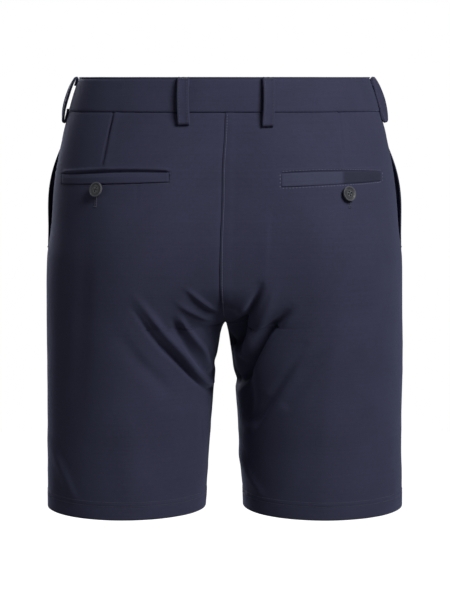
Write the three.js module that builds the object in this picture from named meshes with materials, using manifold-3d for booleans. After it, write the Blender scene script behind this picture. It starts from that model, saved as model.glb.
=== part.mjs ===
// Men's chino shorts in their worn shape, with nothing inside them.
// Every cut and sewn piece is a wall of cloth of its own: two backs, two fronts, pocket facings,
// welts, a waistband with its belt loops, a fly with its zip, and the buttons.
//
// Millimetres, +Z up. The origin is the middle of the waist ring, half way up the waistband.
// +X is the wearer's right and +Y the wearer's front. A "drop" is a distance down from the
// waistband's top edge, and a "share" runs from 0 to 1 across a piece.

import * as THREE from 'three';
import Module from 'manifold-3d';

// ---------------------------------------------------------------- driving dimensions

const seamGap = 0.3; // air between pieces sewn edge to edge or lying on each other
const layerGap = 1.1; // air behind a curved panel, whose flat facets bow in between their corners
const flyGap = 1.1; // the same behind the longer facets of the fronts
const cloth = 1.3; // one layer of the shell cloth
const crotchDrop = 254;
const hemDrop = 452.5;
const hemFold = 20; // depth of the turned-up hem, two layers of cloth
const halfLegGap = 20; // from the centre plane to the inseam, at the hem
const archPoint = 0.01; // keeps the top of the opening between the legs a point
const backCurve = 46; // height over which the centre back seam turns under the crotch
const frontCurve = 72; // the same for the centre front seam
const columnCrowding = 4; // how much the columns crowd together beside the crotch
const seatValley = 3; // how far the centre back seam lies in between the two sides
const crotchFullness = 0.65; // 1 gives round leg rings at the crotch, less gives fuller ones
const fullnessReach = 130; // over this height above and below the crotch they turn round
const frontDip = 9; // how much lower the waist is at the front than at the back

const bandHeight = 35;
const bandTop = bandHeight / 2;
const bandThickness = 2.6;
const bandProud = 0.6; // the band stands this far outside the panels
const bandUnderlap = 36; // the right end runs on under the left end past the centre
const bandOverlap = 4; // the left end stops this far past the centre
const bandStep = 14; // length over which the right end steps in under the left

const mouthTop = 38; // slant pocket: from the side seam to the mouth, along the waist seam
const mouthEndDrop = 186; // where the mouth meets the side seam
const mouthGape = 8.5; // how far the mouth's edge stands open half way down
const mouthReach = 34; // how far forward of the mouth the panel is lifted
const facingOverlap = 22; // how far the facing goes on behind the front panel

const weltThickness = 1.5;
const weltSeat = 0.45; // air under the welt and under a button's foot

const loopWidth = 12;

const flyTop = 37;
const flyEnd = 190;
const zipHalfTape = 13;
const zipHalfChain = 2.6;
const tapeThickness = 1;
const chainThickness = 2.4;
const chainSink = 4.4; // room for the slider between the front panels and the chain
const sliderClear = 0.8;
const shieldHalfWidth = 22;

const buttonRadius = 7.6;
const buttonThickness = 2.6;
const shankLength = 2.2; // thread that holds the button clear of the welt

// Rings of the garment: half width, and depth behind and in front of the side seam.
const sections = [
  { drop: 0, halfWidth: 151, back: 102, front: 116 },
  { drop: 35, halfWidth: 162, back: 107, front: 120 },
  { drop: 62, halfWidth: 169.5, back: 113, front: 121 },
  { drop: 108, halfWidth: 178, back: 122, front: 119 },
  { drop: 155, halfWidth: 182, back: 127, front: 116 },
  { drop: 190, halfWidth: 186.5, back: 125, front: 112 },
  { drop: 254, halfWidth: 187.5, back: 112, front: 100 },
  { drop: 350, halfWidth: 187.5, back: 98, front: 88 },
  { drop: 452.5, halfWidth: 188, back: 90, front: 80 },
];

// The largest folds, each along a curve through three places given as distance from the
// centre seam and drop. A positive rise is a ridge, a negative one a trough.
const LEFT = -1;
const RIGHT = 1;
const BACK = -1;
const FRONT = 1;
const folds = [
  { side: LEFT, face: BACK, from: [84, 228], via: [48, 283], to: [13, 331], rise: 3.2, spread: 8 },
  { side: LEFT, face: BACK, from: [82, 246], via: [52, 288], to: [13, 340], rise: -3.6, spread: 8 },
  { side: RIGHT, face: BACK, from: [35, 216], via: [27, 244], to: [9, 282], rise: -4, spread: 8 },
  { side: RIGHT, face: BACK, from: [63, 235], via: [46, 263], to: [14, 310], rise: -5, spread: 9 },
  { side: RIGHT, face: BACK, from: [84, 268], via: [60, 308], to: [32, 352], rise: -3, spread: 9 },
  { side: LEFT, face: FRONT, from: [66, 226], via: [42, 256], to: [14, 300], rise: -3.4, spread: 9 },
  { side: RIGHT, face: FRONT, from: [78, 232], via: [50, 268], to: [15, 318], rise: -3.6, spread: 9 },
];

// Belt loops: place around the waist as a turn (0 is centre back, 1 the side seam, 2 centre
// front, negative on the left), twist about the strap's own length in degrees.
const beltLoops = [
  { name: 'belt_loop_back_left', turn: -0.172, twist: 0, bottom: 46.6 },
  { name: 'belt_loop_back_right', turn: 0.184, twist: 0, bottom: 48.2 },
  { name: 'belt_loop_side_left', turn: -1.0, twist: 0, bottom: 46.8 },
  { name: 'belt_loop_side_right', turn: 0.97, twist: 20, bottom: 46.8 },
  { name: 'belt_loop_front_left', turn: -1.62, twist: 0, bottom: 46.8 },
  { name: 'belt_loop_front_right', turn: 1.62, twist: 0, bottom: 46.8 },
];

// A belt loop's bow: how far its inner face stands off the panels, and its thickness.
// The share runs down the strap. Both ends are folded under and sewn down.
const loopBow = [
  { share: 0, stand: 0.9, thick: 3.2 },
  { share: 0.07, stand: 1.9, thick: 3.2 },
  { share: 0.16, stand: 3.9, thick: 2.8 },
  { share: 0.32, stand: 4.9, thick: 2.8 },
  { share: 0.52, stand: 5, thick: 2.8 },
  { share: 0.72, stand: 4.6, thick: 2.8 },
  { share: 0.86, stand: 2.9, thick: 2.9 },
  { share: 0.94, stand: 0.7, thick: 3.4 },
  { share: 1, stand: 0.4, thick: 3.2 },
];

// Back pockets: the welt's inner and outer ends and its button, as distances from the centre.
const backPockets = [
  {
    side: LEFT, inner: 55.5, outer: 166.8, mouth: [99.3, 94.3], foot: [108.9, 103.8], crown: 2.6,
    buttonAcross: 126.7, buttonDrop: 113.2,
  },
  {
    side: RIGHT, inner: 57, outer: 160, mouth: [96.4, 95.5], foot: [104.9, 108.4], crown: 2,
    buttonAcross: 122.9, buttonDrop: 117.2,
  },
];

const shellMaterial = new THREE.MeshStandardMaterial({ color: 0x2c2f45, roughness: 0.85, metalness: 0 });
const facingMaterial = new THREE.MeshStandardMaterial({ color: 0x1c1d29, roughness: 0.9, metalness: 0 });
const buttonMaterial = new THREE.MeshStandardMaterial({ color: 0x3b3b3d, roughness: 0.45, metalness: 0 });
const zipMaterial = new THREE.MeshStandardMaterial({ color: 0x23242e, roughness: 0.6, metalness: 0.1 });
const sliderMaterial = new THREE.MeshStandardMaterial({ color: 0x55575c, roughness: 0.35, metalness: 0.9 });

const shorts = new THREE.Group();

// ---------------------------------------------------------------- the garment's form

// A column of a table at any place between its rows, smooth through every row.
function sample(table, key, column, place) {
  const last = table.length - 1;
  const inside = THREE.MathUtils.clamp(place, table[0][key], table[last][key]);
  let row = 0;
  while (row < last - 1 && inside > table[row + 1][key]) row += 1;
  const slope = (index) => {
    const before = table[Math.max(index - 1, 0)];
    const after = table[Math.min(index + 1, last)];
    return (after[column] - before[column]) / (after[key] - before[key]);
  };
  const step = table[row + 1][key] - table[row][key];
  const t = (inside - table[row][key]) / step;
  const startWeight = 2 * t ** 3 - 3 * t ** 2 + 1;
  const startSlope = (t ** 3 - 2 * t ** 2 + t) * step * slope(row);
  const endSlope = (t ** 3 - t ** 2) * step * slope(row + 1);
  return startWeight * table[row][column] + (1 - startWeight) * table[row + 1][column] + startSlope + endSlope;
}

// The ring at a drop. Above the crotch its two halves merge from leg rings into one oval.
function ringAt(drop) {
  const halfWidth = sample(sections, 'drop', 'halfWidth', drop);
  const above = crotchDrop - drop;
  const depth = {
    [BACK]: sample(sections, 'drop', 'back', drop),
    [FRONT]: sample(sections, 'drop', 'front', drop),
  };
  if (above > 0) {
    const merge = 1 - above / crotchDrop;
    const radius = halfWidth / (1 + merge);
    const end = Math.acos(-merge);
    const crowd = 1 + columnCrowding * (2 * end / Math.PI - 1) ** 2;
    return { above, depth, radius, centre: merge * radius, end, crowd };
  }
  const opening = (down) => Math.sqrt(down + archPoint) - Math.sqrt(archPoint);
  const gap = halfLegGap * opening(-above / (hemDrop - crotchDrop)) / opening(1);
  const radius = (halfWidth - gap) / 2;
  return { above, depth, radius, centre: gap + radius, end: Math.PI, crowd: 1 };
}

// The angle round a ring at a share of the way to its end. Towards the crotch the end moves
// fast, and only the last shares follow it.
function angleAt(ring, share) {
  return share * Math.PI - (Math.PI - ring.end) * share ** ring.crowd;
}

function shareAt(ring, angle) {
  let share = angle / ring.end;
  for (let round = 0; round < 8; round += 1) {
    const rate = Math.PI - (Math.PI - ring.end) * ring.crowd * Math.max(share, 0) ** (ring.crowd - 1);
    share -= (angleAt(ring, Math.max(share, 0)) - angle) / rate;
  }
  return share;
}

// How deep the ring is at an angle from the side seam. Between the leg's middle and the centre
// seam the cloth spans nearly flat, and sinks towards the crotch as the seam turns under.
function ringDepth(ring, face, angle) {
  const depth = ring.depth[face];
  if (angle <= Math.PI / 2) return depth * Math.sin(angle);
  const fullness = THREE.MathUtils.lerp(
    crotchFullness, 1, THREE.MathUtils.smoothstep(Math.abs(ring.above), 0, fullnessReach),
  );
  const lift = Math.sign(Math.sin(angle)) * Math.abs(Math.sin(angle)) ** fullness;
  if (ring.above <= 0) return depth * lift;
  const curve = face === BACK ? backCurve : frontCurve;
  const reach = ring.above >= curve ? 1 : Math.sqrt(1 - (1 - ring.above / curve) ** 2);
  const valley = face === BACK ? seatValley * Math.sin(Math.PI * ring.above / crotchDrop) ** 2 : 0;
  const sunk = (depth * (1 - reach) + valley) / (1 - Math.sin(ring.end) ** fullness);
  return depth - Math.min(sunk, depth) * (1 - lift);
}

// A point of the smooth form: share 0 is the side seam, 1 the centre seam or inseam.
function formPoint(side, face, share, drop) {
  const ring = ringAt(drop);
  const angle = share < 0 ? -angleAt(ring, -share) : angleAt(ring, share);
  const across = ring.centre + ring.radius * Math.cos(angle);
  const deep = ringDepth(ring, face, angle);
  const dip = face === FRONT ? frontDip * (deep / ring.depth[FRONT]) ** 2 * Math.max(ring.above, 0) / crotchDrop : 0;
  return new THREE.Vector3(side * across, face * deep, bandTop - drop - dip);
}

const shareStep = 0.004;
const dropStep = 0.4;

// The outward normal of a surface given as a function of share and drop.
function normalOf(surface, share, drop, facing) {
  const along = surface(share + shareStep, drop).sub(surface(share - shareStep, drop));
  const down = surface(share, drop + dropStep).sub(surface(share, drop - dropStep));
  return along.cross(down).multiplyScalar(facing).normalize();
}

// The level direction straight out of a ring.
function levelOut(form, share, drop, facing) {
  const along = form(share + shareStep, drop).sub(form(share - shareStep, drop));
  return new THREE.Vector3(along.y, -along.x, 0).multiplyScalar(-facing).normalize();
}

const foldCurves = folds.map((fold) => ({
  ...fold,
  path: new THREE.SplineCurve([
    new THREE.Vector2(...fold.from), new THREE.Vector2(...fold.via), new THREE.Vector2(...fold.to),
  ]).getPoints(16),
}));

// The nearest place on a path: how far away it is, and its share of the path's length.
function nearestOn(path, here) {
  const pieces = path.length - 1;
  const found = { away: Infinity, along: 0 };
  for (let index = 0; index < pieces; index += 1) {
    const step = path[index + 1].clone().sub(path[index]);
    const part = THREE.MathUtils.clamp(here.clone().sub(path[index]).dot(step) / step.lengthSq(), 0, 1);
    const away = here.distanceTo(path[index].clone().addScaledVector(step, part));
    if (away < found.away) Object.assign(found, { away, along: (index + part) / pieces });
  }
  return found;
}

// How far the folds push the cloth out (or in) at a place on one panel.
function foldSwell(side, face, across, drop) {
  const here = new THREE.Vector2(across, drop);
  let swell = 0;
  for (const fold of foldCurves) {
    if (fold.side !== side || fold.face !== face) continue;
    const { away, along } = nearestOn(fold.path, here);
    const fade = Math.sin(Math.PI * (0.06 + 0.88 * along)) ** 0.7;
    swell += fold.rise * fade * Math.exp(-((away / fold.spread) ** 2));
  }
  return swell;
}

// Angle and share of the front panel at which the slant pocket's mouth lies.
function mouthAngle(ring) {
  const drop = crotchDrop - ring.above;
  const left = Math.max(0, (mouthEndDrop - drop) / (mouthEndDrop - bandHeight));
  return mouthTop * left / ring.depth[FRONT];
}

function mouthShare(drop) {
  const ring = ringAt(drop);
  return shareAt(ring, mouthAngle(ring));
}

// How far the front panel is lifted where its pocket mouth stands open.
function mouthLift(share, drop) {
  const down = (drop - bandHeight) / (mouthEndDrop - bandHeight);
  if (down <= 0 || down >= 1) return 0;
  const ring = ringAt(drop);
  const away = (angleAt(ring, Math.max(share, 0)) - mouthAngle(ring)) * ring.depth[FRONT] / mouthReach;
  return mouthGape * Math.sin(Math.PI * down) ** 1.2 * Math.exp(-(Math.max(away, 0) ** 2));
}

// A panel's outer surface: the form, its folds and, on a front, the open pocket mouth.
function panelSurface(side, face) {
  const form = (share, drop) => formPoint(side, face, share, drop);
  return (share, drop) => {
    const point = form(share, drop);
    let swell = foldSwell(side, face, Math.abs(point.x), drop);
    if (face === FRONT) swell += mouthLift(share, drop);
    return point.addScaledVector(levelOut(form, share, drop, -side * face), swell);
  };
}

// A point around the whole waist: turn 0 is centre back, 1 a side seam, 2 centre front, and
// past 2 it runs on across the centre. Positive turns are on the wearer's right.
function aroundPoint(turn, drop) {
  const crossed = Math.abs(turn) > 2;
  const side = (turn < 0) === crossed ? RIGHT : LEFT;
  const place = crossed ? 4 - Math.abs(turn) : Math.abs(turn);
  if (place < 1) return formPoint(side, BACK, 1 - place, drop);
  return formPoint(side, FRONT, place - 1, drop);
}

function aroundNormal(turn, drop) {
  return normalOf(aroundPoint, turn, drop, -1);
}

// The same point, moved out by a distance.
function aroundOffset(turn, drop, out) {
  return aroundPoint(turn, drop).addScaledVector(aroundNormal(turn, drop), out);
}

// ---------------------------------------------------------------- solids from surfaces

function steps(count, shape = (t) => t) {
  return Array.from({ length: count + 1 }, (_, index) => shape(index / count));
}

// One closed body between two grids of points of the same size.
function closedWall(outer, inner) {
  const rows = outer.length;
  const columns = outer[0].length;
  const faces = [];
  const at = (layer, row, column) => layer * rows * columns + row * columns + column;
  const points = [...outer.flat(), ...inner.flat()];
  const quad = (a, b, c, d) => {
    const firstIsShorter = points[a].distanceTo(points[c]) <= points[b].distanceTo(points[d]);
    faces.push(...(firstIsShorter ? [a, b, c, a, c, d] : [a, b, d, b, c, d]));
  };
  for (let row = 0; row < rows - 1; row += 1) {
    for (let column = 0; column < columns - 1; column += 1) {
      quad(at(0, row, column), at(0, row + 1, column), at(0, row + 1, column + 1), at(0, row, column + 1));
      quad(at(1, row, column), at(1, row, column + 1), at(1, row + 1, column + 1), at(1, row + 1, column));
    }
    quad(at(0, row, 0), at(1, row, 0), at(1, row + 1, 0), at(0, row + 1, 0));
    const end = columns - 1;
    quad(at(0, row, end), at(0, row + 1, end), at(1, row + 1, end), at(1, row, end));
  }
  for (let column = 0; column < columns - 1; column += 1) {
    quad(at(0, 0, column), at(0, 0, column + 1), at(1, 0, column + 1), at(1, 0, column));
    const end = rows - 1;
    quad(at(0, end, column), at(1, end, column), at(1, end, column + 1), at(0, end, column + 1));
  }
  return outwardGeometry(points.flatMap((point) => point.toArray()), faces);
}

// Geometry from points and faces, turned so that its volume is positive.
function outwardGeometry(positions, faces) {
  const corner = (index) => new THREE.Vector3().fromArray(positions, faces[index] * 3);
  let volume = 0;
  for (let index = 0; index < faces.length; index += 3) {
    volume += corner(index).dot(corner(index + 1).cross(corner(index + 2)));
  }
  const geometry = new THREE.BufferGeometry();
  geometry.setAttribute('position', new THREE.Float32BufferAttribute(positions, 3));
  geometry.setIndex(volume > 0 ? faces : faces.toReversed());
  geometry.computeVertexNormals();
  return geometry;
}

function addPiece(name, geometry, material) {
  const mesh = new THREE.Mesh(geometry, material);
  mesh.name = name;
  shorts.add(mesh);
  return mesh;
}

// ---------------------------------------------------------------- backs and fronts

// Rows of a panel: wide apart at the waist and hem, close together at the crotch.
function panelRows(upperCount, lowerCount) {
  const seam = bandHeight + seamGap;
  const rise = crotchDrop - seam;
  const leg = hemDrop - hemFold - crotchDrop;
  const upper = steps(upperCount, (t) => crotchDrop - rise * (1 - t) ** 1.7);
  const lower = steps(lowerCount, (t) => crotchDrop + leg * t ** 1.35).slice(1);
  return [...upper, ...lower, hemDrop - hemFold + 0.4, hemDrop - hemFold / 2, hemDrop];
}

function addPanel(name, side, face, columnCount, upperCount, lowerCount) {
  const surface = panelSurface(side, face);
  const columns = steps(columnCount, (t) => 1 - (1 - t) ** 1.15);
  const outer = [];
  const inner = [];
  for (const drop of panelRows(upperCount, lowerCount)) {
    const start = face === FRONT ? mouthShare(drop) : 0;
    const layers = drop > hemDrop - hemFold ? 2 : 1;
    const outerRow = [];
    const innerRow = [];
    for (const column of columns) {
      const share = start + (1 - start) * column;
      const normal = normalOf(surface, share, drop, -side * face);
      const point = keepClear(surface(share, drop), side, face);
      outerRow.push(point);
      innerRow.push(keepClear(point.clone().addScaledVector(normal, -cloth * layers), side, face));
    }
    outer.push(outerRow);
    inner.push(innerRow);
  }
  return addPiece(name, closedWall(outer, inner), shellMaterial);
}

// Holds a panel's point on its own side of the centre seam and of the side seam and inseam.
function keepClear(point, side, face) {
  point.x = side * Math.max(side * point.x, seamGap / 2);
  point.y = face * Math.max(face * point.y, seamGap / 2);
  return point;
}

addPanel('back_left', LEFT, BACK, 18, 12, 10);
addPanel('back_right', RIGHT, BACK, 18, 12, 10);
addPanel('front_left', LEFT, FRONT, 14, 11, 8);
addPanel('front_right', RIGHT, FRONT, 14, 11, 8);

// ---------------------------------------------------------------- slant pocket facings

// The facing carries the side on under the front panel, one layer further in.
function addPocketFacing(name, side) {
  const form = (share, drop) => formPoint(side, FRONT, share, drop);
  const depthIn = cloth + layerGap;
  const outer = [];
  const inner = [];
  for (const drop of steps(9, (t) => bandHeight + seamGap + (mouthEndDrop + 6 - bandHeight) * t)) {
    const ring = ringAt(drop);
    const width = shareAt(ring, mouthAngle(ring) + facingOverlap / ring.depth[FRONT]);
    const place = (share, out) => {
      const point = form(share, drop).addScaledVector(normalOf(form, share, drop, -side), out);
      return keepClear(point, side, FRONT);
    };
    outer.push(steps(4, (t) => place(t * width, -depthIn)));
    inner.push(steps(4, (t) => place(t * width, -depthIn - cloth)));
  }
  return addPiece(name, closedWall(outer, inner), facingMaterial);
}

addPocketFacing('pocket_facing_left', LEFT);
addPocketFacing('pocket_facing_right', RIGHT);

// ---------------------------------------------------------------- back pocket welts

// Share of a back panel at a distance from the centre seam, at a drop above the crotch.
function backShare(across, drop) {
  const ring = ringAt(drop);
  return shareAt(ring, Math.acos((across - ring.centre) / ring.radius));
}

// The welt is one folded strip lying on the back, its ends held and its middle bowed up.
function addWelt(name, pocket) {
  const surface = panelSurface(pocket.side, BACK);
  const outer = [];
  const inner = [];
  for (const down of steps(3)) {
    const place = (along, out) => {
      const across = THREE.MathUtils.lerp(pocket.outer, pocket.inner, along);
      const top = THREE.MathUtils.lerp(...pocket.mouth, along) - pocket.crown * Math.sin(Math.PI * along);
      const drop = THREE.MathUtils.lerp(top, THREE.MathUtils.lerp(...pocket.foot, along), down);
      const share = backShare(across, drop);
      const normal = normalOf(surface, share, drop, pocket.side);
      return surface(share, drop).addScaledVector(normal, out);
    };
    outer.push(steps(14, (along) => place(along, weltSeat + weltThickness)));
    inner.push(steps(14, (along) => place(along, weltSeat)));
  }
  return addPiece(name, closedWall(outer, inner), shellMaterial);
}

addWelt('back_welt_left', backPockets[0]);
addWelt('back_welt_right', backPockets[1]);

// ---------------------------------------------------------------- waistband

// The band is one strip: it starts under the left end at the front, goes round the wearer's
// right side and back, and ends on top, past the centre.
function bandInset(turn, perTurn) {
  const pastStep = (turn - 2) * perTurn + bandOverlap + bandStep + seamGap;
  const share = THREE.MathUtils.clamp(pastStep / bandStep, 0, 1);
  return (bandThickness + seamGap) * THREE.MathUtils.smoothstep(share, 0, 1);
}

function addWaistband() {
  const middle = ringAt(bandHeight / 2);
  const perTurn = middle.radius * middle.end;
  const start = -(2 + bandOverlap / perTurn);
  const end = 2 + bandUnderlap / perTurn;
  const outer = [];
  const inner = [];
  for (const drop of [0, bandHeight / 2, bandHeight]) {
    const place = (turn, out) => aroundOffset(turn, drop, out - bandInset(turn, perTurn));
    outer.push(steps(76, (t) => place(start + (end - start) * t, bandProud)));
    inner.push(steps(76, (t) => place(start + (end - start) * t, bandProud - bandThickness)));
  }
  return addPiece('waistband', closedWall(outer, inner), shellMaterial);
}

addWaistband();

// ---------------------------------------------------------------- belt loops

// A strap across the band, sewn down at the top edge and below the waist seam.
function addBeltLoop({ name, turn, twist, bottom }) {
  const top = 0.8;
  const lean = Math.tan(THREE.MathUtils.degToRad(twist));
  const outer = [];
  const inner = [];
  for (const { share, stand, thick } of loopBow) {
    const drop = top + (bottom - top) * share;
    const middle = aroundPoint(turn, drop);
    const out = aroundNormal(turn, drop).setZ(0).normalize();
    const across = new THREE.Vector3(-out.y, out.x, 0);
    const free = Math.sin(Math.PI * share) ** 0.5;
    const place = (sideways, distance) => middle.clone()
      .addScaledVector(across, sideways)
      .addScaledVector(out, distance + Math.max(0, sideways * Math.sign(turn) * lean * free));
    const sag = clearOfCurve(turn, drop, middle, out, across);
    outer.push([-1, 0, 1].map((way) => place(way * loopWidth / 2, stand + thick - Math.abs(way) * sag)));
    inner.push([-1, 0, 1].map((way) => place(way * loopWidth / 2, stand - Math.abs(way) * sag)));
  }
  return addPiece(name, closedWall(outer, inner), shellMaterial);
}

// How far the garment curves back from a flat strap at the strap's edge.
function clearOfCurve(turn, drop, middle, out, across) {
  const perTurn = ringAt(drop).radius * ringAt(drop).end;
  const edge = aroundPoint(turn + loopWidth / 2 / perTurn, drop).sub(middle);
  const otherEdge = aroundPoint(turn - loopWidth / 2 / perTurn, drop).sub(middle);
  return Math.max(0, Math.min(-edge.dot(out), -otherEdge.dot(out)));
}

beltLoops.forEach(addBeltLoop);

// ---------------------------------------------------------------- fly, zip and slider

// A strip behind the centre front, from a list of places across and their depths.
function addFlyStrip(name, stations, topDrop, endDrop, material) {
  const outer = [];
  const inner = [];
  for (const drop of steps(8, (t) => topDrop + (endDrop - topDrop) * t)) {
    const ring = ringAt(drop);
    const perTurn = ring.radius * Math.sin(ring.end) * (Math.PI - (Math.PI - ring.end) * ring.crowd);
    outer.push(stations.map(({ across, out }) => aroundOffset(2 - across / perTurn, drop, out)));
    inner.push(stations.map(({ across, back }) => aroundOffset(2 - across / perTurn, drop, back)));
  }
  return addPiece(name, closedWall(outer, inner), material);
}

const tapeOut = -(cloth + flyGap);
const chainOut = tapeOut - chainSink;
const tapeSlope = [
  { across: zipHalfTape, sunk: 0, thick: tapeThickness },
  { across: zipHalfTape / 2, sunk: chainSink / 2, thick: tapeThickness },
  { across: zipHalfChain, sunk: chainSink, thick: chainThickness },
];
const bothSides = (half, make) => [
  ...half.map((station) => make(station, -1)),
  ...half.toReversed().map((station) => make(station, 1)),
];
const zipStations = bothSides(tapeSlope, ({ across, sunk, thick }, way) => (
  { across: way * across, out: tapeOut - sunk, back: tapeOut - sunk - thick }
));
addFlyStrip('zip_tape', zipStations, flyTop, flyEnd - 8, zipMaterial);

const shieldSlope = [{ across: shieldHalfWidth, sunk: 0, thick: 0 }, ...tapeSlope];
const shieldStations = bothSides(shieldSlope, ({ across, sunk, thick }, way) => {
  const out = tapeOut - sunk - thick - (thick > 0 ? 2 * seamGap : 0);
  return { across: way * across, out, back: out - cloth };
});
addFlyStrip('fly_shield', shieldStations, flyTop, flyEnd, shellMaterial);

// Slider: a flat body on the chain with its pull tab hanging down in front of it.
function addZipSlider() {
  const outline = new THREE.Shape();
  outline.moveTo(-3.6, 0);
  outline.lineTo(-4.2, 7);
  outline.quadraticCurveTo(-4, 9.5, 0, 9.5);
  outline.quadraticCurveTo(4, 9.5, 4.2, 7);
  outline.lineTo(3.6, 0);
  outline.lineTo(2, 0);
  outline.lineTo(2, -13);
  outline.absarc(0, -13, 2, 0, -Math.PI, true);
  outline.lineTo(-2, 0);
  const geometry = new THREE.ExtrudeGeometry(outline, { depth: 2.2, bevelEnabled: false, curveSegments: 5 });
  const slider = addPiece('zip_slider', geometry, sliderMaterial);
  const drop = flyTop + 14;
  const seat = aroundOffset(2, drop, chainOut + sliderClear);
  slider.rotation.x = Math.PI / 2 + Math.asin(aroundNormal(2, drop).z);
  slider.rotation.reorder('YXZ');
  slider.position.copy(seat);
  slider.position.y += 2.2;
  return slider;
}

addZipSlider();

// ---------------------------------------------------------------- buttons

const wasm = await Module();
wasm.setup();

function toManifold(geometry) {
  const merged = weld(geometry);
  return new wasm.Manifold(new wasm.Mesh({
    numProp: 3, vertProperties: merged.vertices, triVerts: merged.triangles,
  }));
}

// Shared vertices of a geometry, as the boolean library needs them.
function weld(geometry) {
  const position = geometry.attributes.position;
  const count = geometry.index ? geometry.index.count : position.count;
  const known = new Map();
  const vertices = [];
  const triangles = [];
  for (let corner = 0; corner < count; corner += 1) {
    const index = geometry.index ? geometry.index.getX(corner) : corner;
    const point = [position.getX(index), position.getY(index), position.getZ(index)];
    const key = point.map((value) => Math.round(value * 1e4)).join(' ');
    if (!known.has(key)) {
      known.set(key, vertices.length / 3);
      vertices.push(...point);
    }
    triangles.push(known.get(key));
  }
  const kept = [];
  for (let corner = 0; corner < triangles.length; corner += 3) {
    const [a, b, c] = triangles.slice(corner, corner + 3);
    if (a !== b && b !== c && a !== c) kept.push(a, b, c);
  }
  return { vertices: new Float32Array(vertices), triangles: new Uint32Array(kept) };
}

// A rimmed disc with four sewing holes, on the thread shank that holds it off the cloth.
function buttonGeometry() {
  const shankRadius = 2.6;
  const face = shankLength + buttonThickness;
  const profile = [
    [0, 0], [shankRadius, 0], [shankRadius, shankLength], [buttonRadius - 1.2, shankLength],
    [buttonRadius, shankLength + 0.9], [buttonRadius, face - 0.6], [buttonRadius - 0.7, face],
    [buttonRadius - 1.9, face], [buttonRadius - 2.6, face - 0.8], [0, face - 0.8],
  ].map(([radius, height]) => new THREE.Vector2(radius, height));
  let solid = toManifold(new THREE.LatheGeometry(profile, 16));
  for (const quarter of [0, 1, 2, 3]) {
    const hole = new THREE.CylinderGeometry(0.85, 0.85, 2, 6);
    const angle = quarter * Math.PI / 2;
    hole.translate(1.6 * Math.cos(angle), face, 1.6 * Math.sin(angle));
    solid = solid.subtract(toManifold(hole));
  }
  const mesh = solid.getMesh();
  const geometry = new THREE.BufferGeometry();
  geometry.setAttribute('position', new THREE.BufferAttribute(mesh.vertProperties, 3));
  geometry.setIndex(new THREE.BufferAttribute(mesh.triVerts, 1));
  geometry.computeVertexNormals();
  return geometry;
}

// Sets a button's foot on a point of the cloth, facing along the cloth's normal.
function addButton(name, foot, normal) {
  const button = addPiece(name, buttonGeometry(), buttonMaterial);
  button.position.copy(foot);
  button.quaternion.setFromUnitVectors(new THREE.Vector3(0, 1, 0), normal);
  return button;
}

for (const pocket of backPockets) {
  const surface = panelSurface(pocket.side, BACK);
  const share = backShare(pocket.buttonAcross, pocket.buttonDrop);
  const normal = normalOf(surface, share, pocket.buttonDrop, pocket.side);
  const foot = surface(share, pocket.buttonDrop).addScaledVector(normal, weltSeat);
  addButton(pocket.side === LEFT ? 'pocket_button_left' : 'pocket_button_right', foot, normal);
}

const waistButtonTurn = -1.952;
addButton(
  'waist_button',
  aroundOffset(waistButtonTurn, bandHeight / 2, bandProud + seamGap),
  aroundNormal(waistButtonTurn, bandHeight / 2),
);

export default shorts;
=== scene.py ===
"""Men's chino shorts in worn shape: the looks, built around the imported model.

The cloth pieces are thin shells on the form of their solids, with their creases, folded edges,
seams and stitches. Shapes are worked out in millimetres and become meshes in metres. A "drop" is
a distance down from the waistband's top edge, a "share" runs from 0 at the side seam to 1 at the
centre seam or inseam, and a "turn" goes round the waist: 0 at the centre back, 1 at a side seam,
2 at the centre front, with negative turns on the wearer's left. Points hold X, Y and Z in their
last axis.
"""
from __future__ import annotations

import logging
import math
from dataclasses import dataclass
from enum import IntEnum
from typing import Callable, NamedTuple, Union

import bpy
import numpy as np
from mathutils import Matrix, Vector


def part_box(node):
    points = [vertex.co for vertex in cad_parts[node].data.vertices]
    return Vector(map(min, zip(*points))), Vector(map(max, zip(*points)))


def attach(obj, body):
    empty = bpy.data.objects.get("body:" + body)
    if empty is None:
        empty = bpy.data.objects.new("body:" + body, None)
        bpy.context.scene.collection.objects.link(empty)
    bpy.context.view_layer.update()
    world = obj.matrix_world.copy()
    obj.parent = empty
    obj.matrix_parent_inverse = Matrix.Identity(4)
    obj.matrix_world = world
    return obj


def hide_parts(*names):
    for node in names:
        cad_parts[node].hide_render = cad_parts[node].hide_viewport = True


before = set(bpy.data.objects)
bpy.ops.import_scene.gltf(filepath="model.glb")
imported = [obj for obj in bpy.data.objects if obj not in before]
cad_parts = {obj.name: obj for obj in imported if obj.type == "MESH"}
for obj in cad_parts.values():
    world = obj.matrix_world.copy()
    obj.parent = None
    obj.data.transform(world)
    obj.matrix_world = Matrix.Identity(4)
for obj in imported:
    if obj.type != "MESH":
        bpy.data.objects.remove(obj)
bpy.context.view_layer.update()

MM = 0.001
log = logging.getLogger("shorts")

Array = np.ndarray
Colour = tuple[float, float, float, float]
Point = tuple[float, float, float]
Piece = bpy.types.Object
Material = bpy.types.Material
Socket = bpy.types.NodeSocket
Value = Union[Socket, float, tuple]


class Side(IntEnum):
    """A side of the wearer, with the sign of its X."""

    LEFT = -1
    RIGHT = 1

    @property
    def word(self) -> str:
        """The side's name as it stands in piece names."""
        return self.name.lower()


class Face(IntEnum):
    """Back or front of the garment, with the sign of its Y."""

    BACK = -1
    FRONT = 1

    @property
    def word(self) -> str:
        """The face's name as it stands in piece names."""
        return self.name.lower()


# ---- form


@dataclass(frozen=True)
class Ring:
    """One row of the garment's girth: half its width, and its depth behind and in front."""

    drop: float
    half_width: float
    back: float
    front: float


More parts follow.
